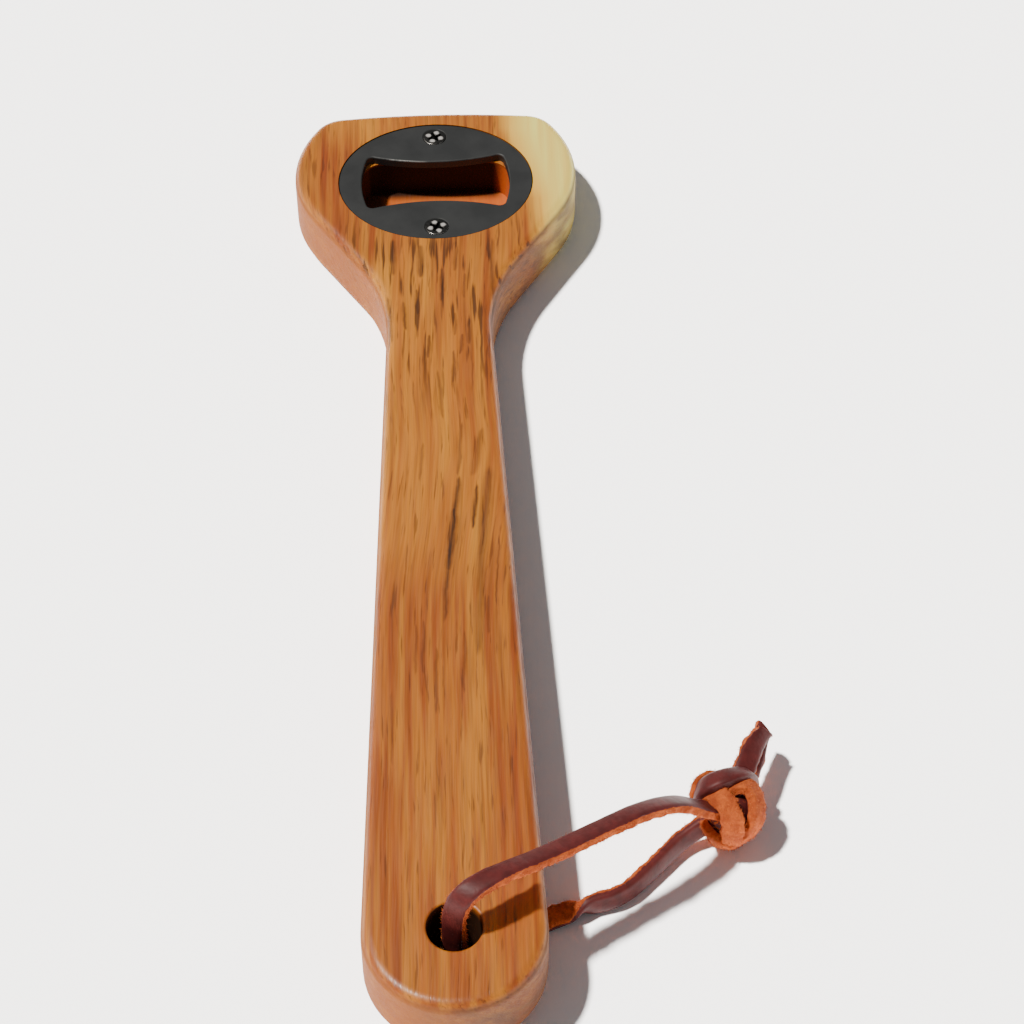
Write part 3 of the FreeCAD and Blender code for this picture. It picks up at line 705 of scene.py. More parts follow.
@dataclass(frozen=True)
class LaceLeather:
    """Leather with a smooth dyed grain side and a rough tan flesh side, told apart by an attribute."""

    effects: Effects
    grain: Colour = paint(98, 38, 36)
    grain_dark: Colour = paint(56, 22, 22)
    flesh: Colour = paint(208, 102, 44)
    flesh_dark: Colour = paint(150, 62, 28)

    def build(self) -> Material:
        """Make the material.

        Returns:
            The lace's material, on Object coordinates, its UV map and the attribute "flesh".
        """
        material, graph, shader = new_material("lace_leather")
        where = graph.add("ShaderNodeTexCoord").outputs["Object"]
        along = graph.add("ShaderNodeUVMap", uv_map=LACE_UV).outputs[0]
        shown = graph.add("ShaderNodeAttribute", attribute_name=FLESH, attribute_type="GEOMETRY")
        side = shown.outputs["Fac"]
        nap = self.effects.cloud(graph, where, 1900.0)
        cloud = self.effects.cloud(graph, where, 420.0)
        crease = self.effects.streak(graph, along, 9.0, 700.0, 0.0, 0.45, 0.7)
        is_flesh = graph.smooth(graph.math("MULTIPLY_ADD", graph.minus(nap, 0.5), 0.5, side), 0.38, 0.6)
        worn = graph.math("MAXIMUM", graph.times(cloud, 0.55), graph.times(crease, 0.4))
        top = graph.mix(worn, self.grain, self.grain_dark)
        under = graph.mix(graph.times(cloud, 0.8), self.flesh, self.flesh_dark)
        under = graph.mix(graph.times(nap, 0.4), under, self.flesh_dark)
        rough = graph.times(nap, graph.fit(is_flesh, 0.12, 1.0))
        finish = {
            "Base Color": graph.mix(is_flesh, top, under),
            "Roughness": graph.fit(is_flesh, 0.48, 0.92),
            "Specular IOR Level": 0.24,
            "Normal": graph.bump(graph.minus(rough, graph.times(crease, 0.15)), 0.5, 0.0002),
        }
        graph.fill(shader, finish)
        return material


@dataclass(frozen=True)
class LooseFibre:
    """The loose fibres that stand out of the lace's flesh side."""

    effects: Effects
    bright: Colour = paint(222, 120, 58)
    dull: Colour = paint(158, 72, 34)

    def build(self) -> Material:
        """Make the material.

        Returns:
            The fibres' material.
        """
        material, graph, shader = new_material("loose_fibre")
        cloud = self.effects.cloud(graph, graph.add("ShaderNodeTexCoord").outputs["Object"], 380.0)
        finish = {
            "Base Color": graph.mix(cloud, self.bright, self.dull),
            "Roughness": graph.fit(cloud, 0.8, 0.95),
        }
        graph.fill(shader, finish)
        return material


# ---------------------------------------------------------------- leather lace


class EdgeDyeOrShade(Enum):
    """Which of the lace's edges take the grain side's colour besides its grain side: dyed on full edges, painted
    shade on half edges.
    """

    NONE = 0
    SHADED_HALF_EDGES = 1
    FULL_EDGES = 2


@dataclass
class LaceCut:
    """The lace's cross-section: a flat strip, crowned on its grain side."""

    width: float = 4.4 * MM
    thick: float = 2.2 * MM
    squareness: float = 4.5
    crown: float = 0.12 * MM
    points: int = 36
    slant_start: float = 0.86
    dye_or_shade_lines: ClassVar[dict[EdgeDyeOrShade, tuple[float, float]]] = {
        EdgeDyeOrShade.NONE: (0.8, 0.45),
        # Half edges: painted shade, with the upper half of each edge coloured like the grain side.
        EdgeDyeOrShade.SHADED_HALF_EDGES: (0.1, -0.35),
        EdgeDyeOrShade.FULL_EDGES: (-0.6, -0.95),
    }

    def outline(self, dye_or_shade: EdgeDyeOrShade) -> list[Point]:
        """The section's points.

        Args:
            dye_or_shade: which edges count as dyed or as painted shade.

        Returns:
            Across and up from the centreline, and how much of the flesh side shows, for each point.
        """
        made = []
        power = 2 / self.squareness
        for i in range(self.points):
            turn = 2 * math.pi * i / self.points
            cos, sin = math.cos(turn), math.sin(turn)
            x = math.copysign(abs(cos) ** power, cos)
            y = math.copysign(abs(sin) ** power, sin)
            flesh = smoothstep(*self.dye_or_shade_lines[dye_or_shade], y)
            lift = self.crown * (1 - x * x) if y > 0 else 0.0
            made.append((x * self.width / 2, y * self.thick / 2 + lift, flesh))
        return made


def read_spline(name: str, points: list[Vector], steps: int = 24) -> list[Vector]:
    """The points of a smooth line through space.

    Args:
        name: a name for the curve while it exists.
        points: the line's control points, in metres.
        steps: how many points are read for each control point.

    Returns:
        The points of the line's NURBS spline, in order.
    """
    curve = bpy.data.curves.new(name, "CURVE")
    curve.dimensions = "3D"
    spline = curve.splines.new("NURBS")
    spline.points.add(len(points) - 1)
    for control, point in zip(spline.points, points):
        control.co = (*point, 1.0)
    spline.order_u = 3
    spline.use_endpoint_u = True
    curve.resolution_u = steps
    holder = bpy.data.objects.new(name, curve)
    mesh = bpy.data.meshes.new_from_object(holder)
    read = [vertex.co.copy() for vertex in mesh.vertices]
    bpy.data.objects.remove(holder)
    bpy.data.curves.remove(curve)
    bpy.data.meshes.remove(mesh)
    return read


def ease(stops: Stops, share: float) -> float:
    """A value that eases from stop to stop.

    Args:
        stops: shares of the way, each with its value.
        share: the share of the way to read at.

    Returns:
        The value there.
    """
    value = stops[0][1]
    for (start, first), (end, last) in zip(stops, stops[1:]):
        if share >= start:
            value = first + (last - first) * smoothstep(start, end, share)
    return value


class LaceMesh:
    """Collects swept lengths of lace and turns them into one mesh."""

    def __init__(self, cut: LaceCut) -> None:
        """Start with no lengths.

        Args:
            cut: the lace's cross-section.
        """
        self.cut = cut
        self.places: list[Vector] = []
        self.faces: list[tuple[int, ...]] = []
        self.flesh: list[float] = []
        self.maps: list[tuple[float, float]] = []

    def sweep(
        self,
        line: list[Vector],
        facings: list[Vector],
        flip: bool = False,
        dye_or_shade: EdgeDyeOrShade = EdgeDyeOrShade.NONE,
        narrowing: Stops = ((0.0, 1.0), (1.0, 1.0)),
        slant: float = 0.0,
    ) -> None:
        """Add one length of lace.

        Args:
            line: the points that its centreline follows.
            facings: where its grain side faces at each point.
            flip: True where the flesh side takes the grain side's place.
            dye_or_shade: which edges take the grain side's colour, dyed or as painted shade.
            narrowing: the lace's width as a share of the full one, along the way.
            slant: how far the end cut leans, in metres from one edge to the other.
        """
        outline = self.cut.outline(dye_or_shade)
        count = len(outline)
        first = len(self.places)
        run = 0.0
        total = sum((b - a).length for a, b in zip(line, line[1:]))
        for i, at in enumerate(line):
            ahead = line[min(i + 1, len(line) - 1)]
            behind = line[max(i - 1, 0)]
            heading = (ahead - behind).normalized()
            up = facings[i] - heading * facings[i].dot(heading)
            up.normalize()
            side = heading.cross(up)
            run += (at - line[i - 1]).length if i else 0.0
            share = run / total
            width = ease(narrowing, share)
            lean = slant * smoothstep(self.cut.slant_start, 1.0, share)
            for k, (x, y, flesh) in enumerate(outline):
                across = x * width
                level = -y if flip else y
                place = at + side * across + up * level + heading * (lean * x / self.cut.width)
                place += self._roughness(place, side * x + up * level, flesh, abs(x) / (self.cut.width / 2))
                self.places.append(place)
                self.flesh.append(flesh)
                self.maps.append((k / count, run))
        rings = len(line)
        for i in range(rings - 1):
            ring = first + i * count
            for k in range(count):
                after = (k + 1) % count
                corners = (ring + k, ring + after, ring + count + after, ring + count + k)
                self.faces.append(corners if flip else corners[::-1])
        start = tuple(range(first, first + count))
        end = tuple(range(first + (rings - 1) * count, first + rings * count))
        self.faces.append(start[::-1] if flip else start)
        self.faces.append(end if flip else end[::-1])

    def add_core(self, centre: Vector, radius: float) -> None:
        """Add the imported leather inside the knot, which closes the gaps between its turns.

        Args:
            centre: its middle.
            radius: its mean radius.
        """
        ball = bmesh.new()
        bmesh.ops.create_icosphere(ball, subdivisions=4, radius=radius)
        first = len(self.places)
        for vert in ball.verts:
            lump = 1.0 + 0.05 * noise.noise(vert.co * 320.0)
            self.places.append(centre + vert.co * lump)
            self.flesh.append(0.3 + 0.35 * noise.noise(vert.co * 240.0))
            self.maps.append((0.0, vert.co.x))
        self.faces.extend(tuple(first + vert.index for vert in face.verts) for face in ball.faces)
        ball.free()

    def _roughness(self, place: Vector, outward: Vector, flesh: float, edge: float) -> Vector:
        """How far a point stands out of or sinks into the smooth strip.

        Args:
            place: the point on the smooth strip.
            outward: the direction out of the strip.
            flesh: how much of the flesh side shows there.
            edge: how near the strip's edge it is, from 0 to 1.

        Returns:
            The move.
        """
        broad = noise.noise(place * 420.0)
        teeth = noise.noise(place * 760.0 + Vector((2.0, 5.0, 9.0)))
        fine = noise.noise(place * 1700.0 + Vector((7.0, 3.0, 1.0)))
        torn = edge**4 * (0.1 * broad + 0.42 * teeth)
        amount = (0.05 * broad + flesh * (0.12 * fine + torn)) * MM
        return outward.normalized() * amount

    def make(self, name: str, material: Material) -> Piece:
        """Turn what was collected into an object.

        Args:
            name: the object's name.
            material: its finish.

        Returns:
            The object, at the origin.
        """
        mesh = bpy.data.meshes.new(name)
        mesh.from_pydata(self.places, [], self.faces)
        uvs = mesh.uv_layers.new(name=LACE_UV)
        for loop in mesh.loops:
            uvs.data[loop.index].uv = self.maps[loop.vertex_index]
        shown = mesh.attributes.new(FLESH, "FLOAT", "POINT")
        shown.data.foreach_set("value", self.flesh)
        mesh.materials.append(material)
        mesh.shade_smooth()
        return add_object(name, mesh)


def add_object(name: str, mesh: Mesh) -> Piece:
    """Put a mesh into the scene.

    Args:
        name: the object's name.
        mesh: its mesh.

    Returns:
        The object, at the origin.
    """
    made = bpy.data.objects.new(name, mesh)
    bpy.context.scene.collection.objects.link(made)
    return made


def carried_facings(line: list[Vector], facing: Vector, rolls: Stops) -> list[Vector]:
    """Carry a facing along a line without twist, then roll it.

    Args:
        line: the points of the line.
        facing: where the grain side faces at the start.
        rolls: the roll in degrees at shares of the way.

    Returns:
        The facing at each point.
    """
    headings = [(b - a).normalized() for a, b in zip(line, line[1:])]
    headings.append(headings[-1])
    made = []
    for i, heading in enumerate(headings):
        if i:
            facing = headings[i - 1].rotation_difference(heading) @ facing
        share = i / (len(line) - 1)
        made.append(Matrix.Rotation(math.radians(ease(rolls, share)), 3, heading) @ facing)
    return made


@dataclass(frozen=True)
class Strand:
    """One of the lace's two strands, from the lanyard hole to the knot, with its route and exit in mm."""

    node: str
    route: tuple[Point, ...]
    exit_height: float
    length: float
    rolls: Stops
    dye_or_shade: EdgeDyeOrShade

    def line(self, foot: Vector) -> list[Vector]:
        """The points that the strand's centreline follows."""
        return read_spline(self.node + "_route", [foot + Vector(point) * MM for point in self.route])


@dataclass(frozen=True)
class Wrap:
    """One turn of lace in the knot, in millimetres on the knot's own axes: right, up its face and out."""

    route: tuple[Point, ...]
    flesh_out: bool
    lean: Point = (0.0, 0.0, 0.0)
    narrowing: Stops = ((0.0, 1.0), (1.0, 1.0))
    slant: float = 0.0
    faces_out: bool = True
    dye_or_shade: EdgeDyeOrShade = EdgeDyeOrShade.NONE


@dataclass
class WristLace:
    """The leather lace: two strands, an overhand knot and two cut tails."""

    leather: Material
    fibre: Material
    cut: LaceCut
    face_tilt: float = math.radians(42)
    fibres_per_area: float = 5.0e6
    fibre_length: float = 0.55 * MM
    fibre_radius: float = 0.045 * MM
    fibre_clearance: float = 1.3 * MM
    core_radius: float = 5.1 * MM
    core_place: Point = (0.2, -0.2, -0.4)
    upper: Strand = Strand(
        "lace_upper",
        (
            (0.0, 0.0, 10.1), (-0.4, -0.2, 18.5), (0.8, 0.4, 26.4), (7.1, 4.1, 27.4),
            (16.9, 9.7, 24.9), (26.1, 14.9, 24.2), (35.2, 20.1, 23.3), (42.6, 24.3, 19.6),
            (47.3, 27.0, 13.2), (51.3, 29.2, 9.0),
        ),
        exit_height=17.75,
        length=79.1 * MM,
        rolls=((0.0, 32.0), (0.12, 28.0), (0.38, -20.0), (0.8, -18.0), (1.0, -8.0)),
        dye_or_shade=EdgeDyeOrShade.NONE,
    )
    lower: Strand = Strand(
        "lace_lower",
        (
            (0.0, 0.0, 10.1), (0.43, 0.215, 1.25), (9.0, 6.2, 1.27), (16.0, 10.5, 1.27),
            (20.4, 12.2, 1.35), (25.0, 13.2, 2.6), (32.0, 14.8, 2.8), (38.4, 21.0, 2.8),
            (43.6, 26.4, 3.1), (47.2, 28.4, 4.6), (51.0, 29.8, 6.2),
        ),
        exit_height=2.75,
        length=68.5 * MM,
        rolls=((0.0, -32.0), (0.13, 0.0), (0.4, -4.0), (0.53, -104.0), (1.0, -114.0)),
        # Painted shade: the upper half of this strand's edges takes the dark grain colour.
        dye_or_shade=EdgeDyeOrShade.SHADED_HALF_EDGES,
    )
    wraps: tuple[Wrap, ...] = (
        Wrap(
            (
                (-4.0, 4.4, 0.6), (-3.3, 3.9, 3.2), (-1.5, 2.7, 5.3), (-0.3, 0.2, 6.1),
                (0.1, -2.8, 5.4), (0.0, -5.3, 2.9), (-0.5, -6.2, -0.7), (-1.0, -4.8, -3.8),
                (-1.6, -1.5, -5.6), (-1.8, 2.0, -5.0), (-1.5, 4.2, -2.4),
            ),
            True,
        ),
        Wrap(
            (
                (-0.4, 4.4, 1.8), (1.8, 5.3, 2.7), (3.9, 4.8, 2.9), (4.9, 2.6, 3.4),
                (5.0, 0.0, 3.6), (4.3, -2.6, 3.2), (3.0, -4.7, 1.7), (2.1, -5.4, -1.2),
                (1.6, -4.2, -3.8), (2.0, -1.2, -5.3), (2.6, 2.2, -4.8), (2.4, 4.4, -2.4),
            ),
            True,
        ),
        Wrap(
            (
                (-4.6, 0.2, -2.4), (-5.9, 2.4, -0.2), (-5.3, 4.6, 2.0), (-3.2, 6.0, 3.3),
                (-0.4, 6.9, 3.0), (2.0, 7.1, 1.6), (3.9, 6.7, -0.4), (4.8, 5.2, -2.8),
                (4.4, 2.4, -4.5), (2.4, 0.4, -4.6),
            ),
            False,
            lean=(0.0, 0.0, 0.15),
            dye_or_shade=EdgeDyeOrShade.FULL_EDGES,
            narrowing=((0.0, 1.0), (0.35, 1.0), (0.75, 0.72), (1.0, 0.72)),
        ),
        Wrap(
            (
                (-3.4, 0.6, -3.0), (-5.6, 2.4, -1.8), (-6.3, 4.4, -1.2), (-5.2, 5.9, -1.6),
                (-2.8, 6.0, -2.8), (-0.4, 4.6, -4.0),
            ),
            True,
        ),
        Wrap(
            (
                (-3.2, 0.8, -3.6), (-4.6, -1.4, -1.4), (-4.2, -3.6, 1.0), (-2.6, -5.4, 1.8),
                (-0.8, -6.3, 0.4), (0.4, -5.6, -2.6), (0.2, -3.0, -4.6),
            ),
            True,
        ),
        Wrap(
            (
                (0.6, 2.4, -0.6), (2.2, 5.2, -1.2), (3.3, 7.5, -2.2), (4.3, 9.6, -3.6),
                (5.5, 11.6, -5.4), (6.9, 13.2, -7.2), (8.1, 14.2, -8.6),
            ),
            False,
            lean=(0.1, -0.1, 1.0),
            narrowing=((0.0, 1.0), (0.6, 1.0), (1.0, 0.78)),
            slant=1.6 * MM,
            faces_out=False,
        ),
        Wrap(
            (
                (0.4, 2.0, -2.6), (2.8, 4.8, -3.8), (4.7, 7.2, -5.2), (5.8, 9.4, -6.6),
                (6.7, 11.6, -8.2), (7.6, 13.3, -9.6), (8.3, 14.6, -10.6),
            ),
            False,
            lean=(0.15, -0.1, 1.0),
            narrowing=((0.0, 1.0), (0.6, 1.0), (1.0, 0.8)),
            slant=-1.4 * MM,
            faces_out=False,
        ),
    )

    def build(self) -> None:
        """Build the lace, ride it on its body and hide the nodes that it stands for."""
        pivot = lanyard_pivot()
        foot = Vector((pivot.x, pivot.y, 0.0))
        knot = self._build_knot()
        lines = {strand: strand.line(foot) for strand in (self.upper, self.lower)}
        pieces = {strand: self._build_strand(strand, line) for strand, line in lines.items()}
        fuzz = self._build_fuzz([knot, *pieces.values()])
        for piece in (*pieces.values(), knot, fuzz):
            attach(piece, "lanyard")
            LOG.info("%s: %d faces", piece.name, len(piece.data.polygons))
        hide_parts("lace_knot", "lace_tail_front", "lace_tail_back")
        for strand, others in ((self.upper, [knot, fuzz]), (self.lower, [knot])):
            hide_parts(strand.node)

    def _build_strand(self, strand: Strand, line: list[Vector]) -> Piece:
        """Build one strand, with its grain side up where the rolls are 0.

        Args:
            strand: the strand.
            line: the points of its centreline.

        Returns:
            The strand's object.
        """
        heading = (line[-1] - line[0]).to_2d().normalized()
        facings = carried_facings(line, Vector((-heading.x, -heading.y, 0.0)), strand.rolls)
        mesh = LaceMesh(self.cut)
        mesh.sweep(line, facings, dye_or_shade=strand.dye_or_shade)
        return mesh.make(strand.node + "_strand", self.leather)

    def _build_knot(self) -> Piece:
        """Build the knot's wraps and the two tails, as one mesh.

        Returns:
            The knot's object.
        """
        low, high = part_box("lace_knot")
        centre = (low + high) / 2
        axes = Matrix.Rotation(self.face_tilt, 3, "X")
        mesh = LaceMesh(self.cut)
        for i, wrap in enumerate(self.wraps):
            line = read_spline("wrap_%d" % i, [centre + axes @ Vector(point) * MM for point in wrap.route])
            lean = axes @ Vector(wrap.lean)
            facings = []
            for point in line:
                outward = (point - centre).normalized() if wrap.faces_out else Vector()
                facings.append(outward + lean)
            mesh.sweep(line, facings, wrap.flesh_out, wrap.dye_or_shade, wrap.narrowing, wrap.slant)
        mesh.add_core(centre + axes @ Vector(self.core_place) * MM, self.core_radius)
        return mesh.make("lace_wrist_knot", self.leather)

    def _build_fuzz(self, pieces: list[Piece]) -> Piece:
        """Build loose fibres over the flesh side of every length of lace, as one mesh.

        Args:
            pieces: the pieces that the fibres stand on.

        Returns:
            The fibres' object.
        """
        tree = make_fuzz_tree()
        gathered = bmesh.new()
        for i, piece in enumerate(pieces):
            settings = {
                "Density": self.fibres_per_area,
                "Fibre Length": self.fibre_length,
                "Fibre Radius": self.fibre_radius,
                "Clearance": self.fibre_clearance,
                "Seed": i + 1,
                "Finish": self.fibre,
            }
            mesh = run_nodes(piece.data, tree, settings)
            gathered.from_mesh(mesh)
            bpy.data.meshes.remove(mesh)
        fuzz = bpy.data.meshes.new("lace_fuzz")
        gathered.to_mesh(fuzz)
        gathered.free()
        fuzz.materials.clear()
        fuzz.materials.append(self.fibre)
        return add_object("lace_fuzz", fuzz)


# ---------------------------------------------------------------- geometry nodes


def new_geometry_tree(name: str, inputs: dict[str, str]) -> tuple[Graph, Node, Node]:
    """Start a geometry tree.

    Args:
        name: the tree's name.
        inputs: each input's name and socket type, after the geometry.

    Returns:
        The graph, its input node and its output node.
    """
    tree = bpy.data.node_groups.new(name, "GeometryNodeTree")
    tree.interface.new_socket("Geometry", in_out="INPUT", socket_type="NodeSocketGeometry")
    for key, kind in inputs.items():
        tree.interface.new_socket(key, in_out="INPUT", socket_type=kind)
    tree.interface.new_socket("Geometry", in_out="OUTPUT", socket_type="NodeSocketGeometry")
    graph = Graph(tree)
    return graph, graph.add("NodeGroupInput"), graph.add("NodeGroupOutput")


def finish_tree(graph: Graph, geometry: Socket, finish: Socket, outs: Node) -> Tree:
    """End a geometry tree in Realize Instances and Set Material.

    Args:
        graph: the tree's graph.
        geometry: what the tree has made.
        finish: its material.
        outs: the tree's output node.

    Returns:
        The finished tree.
    """
    real = graph.add("GeometryNodeRealizeInstances", {0: geometry})
    painted = graph.add("GeometryNodeSetMaterial", {"Geometry": real.outputs[0], "Material": finish})
    graph.feed(outs.inputs[0], painted.outputs[0])
    return graph.tree


def run_nodes(base: Mesh, tree: Tree, settings: dict[str, object]) -> Mesh:
    """Run a geometry tree once.

    Args:
        base: the mesh that goes in.
        tree: the geometry tree.
        settings: the tree's inputs, by name.

    Returns:
        The result as a plain mesh.
    """
    holder = add_object("nodes_holder", base)
    modifier = holder.modifiers.new("nodes", "NODES")
    modifier.node_group = tree
    for item in tree.interface.items_tree:
        if item.in_out == "INPUT" and item.name in settings:
            modifier[item.identifier] = settings[item.name]
    evaluated = holder.evaluated_get(bpy.context.evaluated_depsgraph_get())
    made = bpy.data.meshes.new_from_object(evaluated)
    holder.modifiers.remove(modifier)
    bpy.data.objects.remove(holder)
    return made


def make_fuzz_tree() -> Tree:
    """Short tapered fibres that stand on the faces whose flesh side shows, clear of the ground.

    Returns:
        The tree.
    """
    numbers = ("Density", "Fibre Length", "Fibre Radius", "Clearance")
    inputs = {name: "NodeSocketFloat" for name in numbers}
    inputs.update({"Seed": "NodeSocketInt", "Finish": "NodeSocketMaterial"})
    graph, ins, outs = new_geometry_tree("lace_fuzz", inputs)
    given = ins.outputs
    shown = graph.add("GeometryNodeInputNamedAttribute", {"Name": FLESH}, data_type="FLOAT")
    is_flesh = graph.math("GREATER_THAN", shown.outputs[0], 0.6)
    place = graph.add("GeometryNodeInputPosition").outputs[0]
    height = graph.add("ShaderNodeSeparateXYZ", {0: place}).outputs[2]
    clear = graph.math("GREATER_THAN", height, given["Clearance"])
    roots = {"Mesh": given["Geometry"], "Selection": graph.times(is_flesh, clear)}
    roots.update({"Density": given["Density"], "Seed": given["Seed"]})
    scattered = graph.add("GeometryNodeDistributePointsOnFaces", roots).outputs
    cone = {"Vertices": 3, "Side Segments": 1, "Radius Top": 0.0}
    cone.update({"Radius Bottom": given["Fibre Radius"], "Depth": given["Fibre Length"]})
    fibre = graph.add("GeometryNodeMeshCone", cone)
    tip_range = {0: (-0.95, -0.95, -3.1), 1: (0.95, 0.95, 3.1), "Seed": given["Seed"]}
    tip = graph.add("FunctionNodeRandomValue", data_type="FLOAT_VECTOR")
    graph.fill(tip, tip_range)
    turn = graph.add("FunctionNodeEulerToRotation", {0: tip.outputs[0]})
    rotation = graph.add("FunctionNodeRotateRotation", rotation_space="LOCAL")
    graph.fill(rotation, {0: scattered["Rotation"], 1: turn.outputs[0]})
    size = graph.add("FunctionNodeRandomValue", data_type="FLOAT")
    graph.fill(size, {2: 0.35, 3: 1.3, "Seed": given["Seed"]})
    instances = {"Points": scattered["Points"], "Instance": fibre.outputs["Mesh"]}
    instances.update({"Rotation": rotation.outputs[0], "Scale": size.outputs[1]})
    placed = graph.add("GeometryNodeInstanceOnPoints", instances)
    return finish_tree(graph, placed.outputs[0], given["Finish"], outs)


def make_thread_tree() -> Tree:
    """A wood screw's thread: a three-sided ridge wound on a spiral.

    Returns:
        The tree.
    """
    numbers = ("Turns", "Start Radius", "End Radius", "Rise", "Ridge")
    inputs = {name: "NodeSocketFloat" for name in numbers}
    graph, ins, outs = new_geometry_tree("screw_thread", {**inputs, "Finish": "NodeSocketMaterial"})
    given = ins.outputs
    path = {"Resolution": 28, "Rotations": given["Turns"], "Height": given["Rise"]}
    path.update({name: given[name] for name in ("Start Radius", "End Radius")})
    spiral = graph.add("GeometryNodeCurveSpiral", path)
    ridge = graph.add("GeometryNodeCurvePrimitiveCircle", {"Resolution": 3}, mode="RADIUS")
    graph.feed(ridge.inputs["Radius"], given["Ridge"])
    swept = {"Curve": spiral.outputs[0], "Profile Curve": ridge.outputs[0], "Fill Caps": True}
    wound = graph.add("GeometryNodeCurveToMesh", swept)
    return finish_tree(graph, wound.outputs[0], given["Finish"], outs)


# ---------------------------------------------------------------- screws


@dataclass
class CrossScrew:
    """A countersunk wood screw with a cross recess, in metres from the middle of its head's face."""

    node: str
    turn: float
    finish: Material
    head_radius: float = 2.75 * MM
    rim: float = 0.2 * MM
    root_radius: float = 1.0 * MM
    thread_radius: float = 1.45 * MM
    length: float = 9.5 * MM
    point: float = 2.6 * MM
    pitch: float = 1.1 * MM
    arm_reach: float = 1.8 * MM
    arm_half_width: float = 0.36 * MM
    recess_depth: float = 1.5 * MM
    edge_softness: float = 0.07 * MM
    steps: int = 72

    def build(self, axis: Vector) -> None:
        """Build the screw where its node is, and let it stand for the node.

        Args:
            axis: the direction out of the opener's face.
        """
        low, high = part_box(self.node)
        middle = (low + high) / 2
        slope = math.hypot(axis.x, axis.y)
        face = Vector((middle.x, middle.y, high.z - self.head_radius * slope))
        place = Matrix.Translation(face) @ Vector((0, 0, 1)).rotation_difference(axis).to_matrix().to_4x4()
        head = self._cut_recess(self._turned_blank())
        thread = self._thread()
        joined = bmesh.new()
        for mesh in (head, thread):
            joined.from_mesh(mesh)
        self._map_head(joined)
        bmesh.ops.transform(joined, matrix=place, verts=joined.verts)
        mesh = bpy.data.meshes.new(self.node + "_detail")
        joined.to_mesh(mesh)
        joined.free()
        mesh.materials.clear()
        mesh.materials.append(self.finish)
        mesh.shade_smooth()
        mesh.set_sharp_from_angle(angle=math.radians(32))
        piece = add_object(self.node + "_detail", mesh)
        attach(piece, "opener")
        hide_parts(self.node)
        LOG.info("%s: %d faces", piece.name, len(mesh.polygons))

    def _map_head(self, joined: bmesh.types.BMesh) -> None:
        """Map the head's face so that the cross's arms lie along U and V and its rim at 1.

        Args:
            joined: the whole screw, before it is moved to its place.
        """
        layer = joined.loops.layers.uv.new(HEAD_UV)
        straight = Matrix.Rotation(-math.radians(self.turn), 3, "Z")
        for face in joined.faces:
            for loop in face.loops:
                place = straight @ loop.vert.co / self.head_radius
                on_top = loop.vert.co.z > -0.3 * self.rim
                loop[layer].uv = (place.x, place.y) if on_top else (2.0, 2.0)

    def _turned_blank(self) -> Piece:
        """Turn the head and shank about the screw's axis.

        Returns:
            The blank, in a scratch object.
        """
        soft = self.edge_softness
        seat = self.head_radius - self.root_radius
        profile = (
            (0.0, 0.0),
            (self.head_radius - 2.5 * soft, 0.0),
            (self.head_radius - soft, -0.3 * soft),
            (self.head_radius, -1.2 * soft),
            (self.head_radius, -self.rim),
            (self.root_radius + 0.3 * MM, -self.rim - seat + 0.3 * MM),
            (self.root_radius, -self.rim - seat - 0.2 * MM),
            (self.root_radius, self.point - self.length),
            (0.55 * self.root_radius, 0.4 * self.point - self.length),
            (0.0, -self.length),
        )
        turned = bmesh.new()
        verts = [turned.verts.new((x, 0.0, z)) for x, z in profile]
        edges = [turned.edges.new(pair) for pair in zip(verts, verts[1:])]
        whole = {"angle": 2 * math.pi, "steps": self.steps}
        bmesh.ops.spin(turned, geom=verts + edges, axis=(0, 0, 1), cent=(0, 0, 0), **whole)
        bmesh.ops.remove_doubles(turned, verts=turned.verts, dist=1e-6)
        bmesh.ops.recalc_face_normals(turned, faces=turned.faces)
        mesh = bpy.data.meshes.new("screw_blank")
        turned.to_mesh(mesh)
        turned.free()
        return add_object("screw_blank", mesh)

    def _cut_recess(self, blank: Piece) -> Mesh:
        """Cut the tapered cross into the head.

        Args:
            blank: the turned head and shank, which is used up.

        Returns:
            The cut mesh.
        """
        cutter = bmesh.new()
        rings = []
        for level, reach, half in (
            (0.2 * MM, self.arm_reach, self.arm_half_width),
            (-0.55 * self.recess_depth, 0.8 * self.arm_reach, 0.82 * self.arm_half_width),
            (-self.recess_depth, 0.34 * self.arm_reach, 0.7 * self.arm_half_width),
        ):
            ring = []
            inner = half * 1.35
            for quarter in range(4):
                spin = Matrix.Rotation(math.radians(self.turn) + quarter * math.pi / 2, 3, "Z")
                for corner in ((reach, -half), (reach, half), (inner, inner)):
                    ring.append(cutter.verts.new(spin @ Vector((*corner, level))))
            rings.append(ring)
        count = len(rings[0])
        sides = [(i, (i + 1) % count) for i in range(count)]
        for upper, lower in zip(rings, rings[1:]):
            for i, j in sides:
                cutter.faces.new((upper[i], lower[i], lower[j], upper[j]))
        cutter.faces.new(rings[0])
        tip = cutter.verts.new((0.0, 0.0, -self.recess_depth - 0.35 * MM))
        for i, j in sides:
            cutter.faces.new((rings[-1][i], tip, rings[-1][j]))
        bmesh.ops.recalc_face_normals(cutter, faces=cutter.faces)
        mesh = bpy.data.meshes.new("cross_cutter")
        cutter.to_mesh(mesh)
        cutter.free()
        tool = add_object("cross_cutter", mesh)
        cut = blank.modifiers.new("recess", "BOOLEAN")
        cut.operation = "DIFFERENCE"
        cut.solver = "EXACT"
        cut.object = tool
        made = bpy.data.meshes.new_from_object(blank.evaluated_get(bpy.context.evaluated_depsgraph_get()))
        bpy.data.objects.remove(blank)
        bpy.data.objects.remove(tool)
        return made

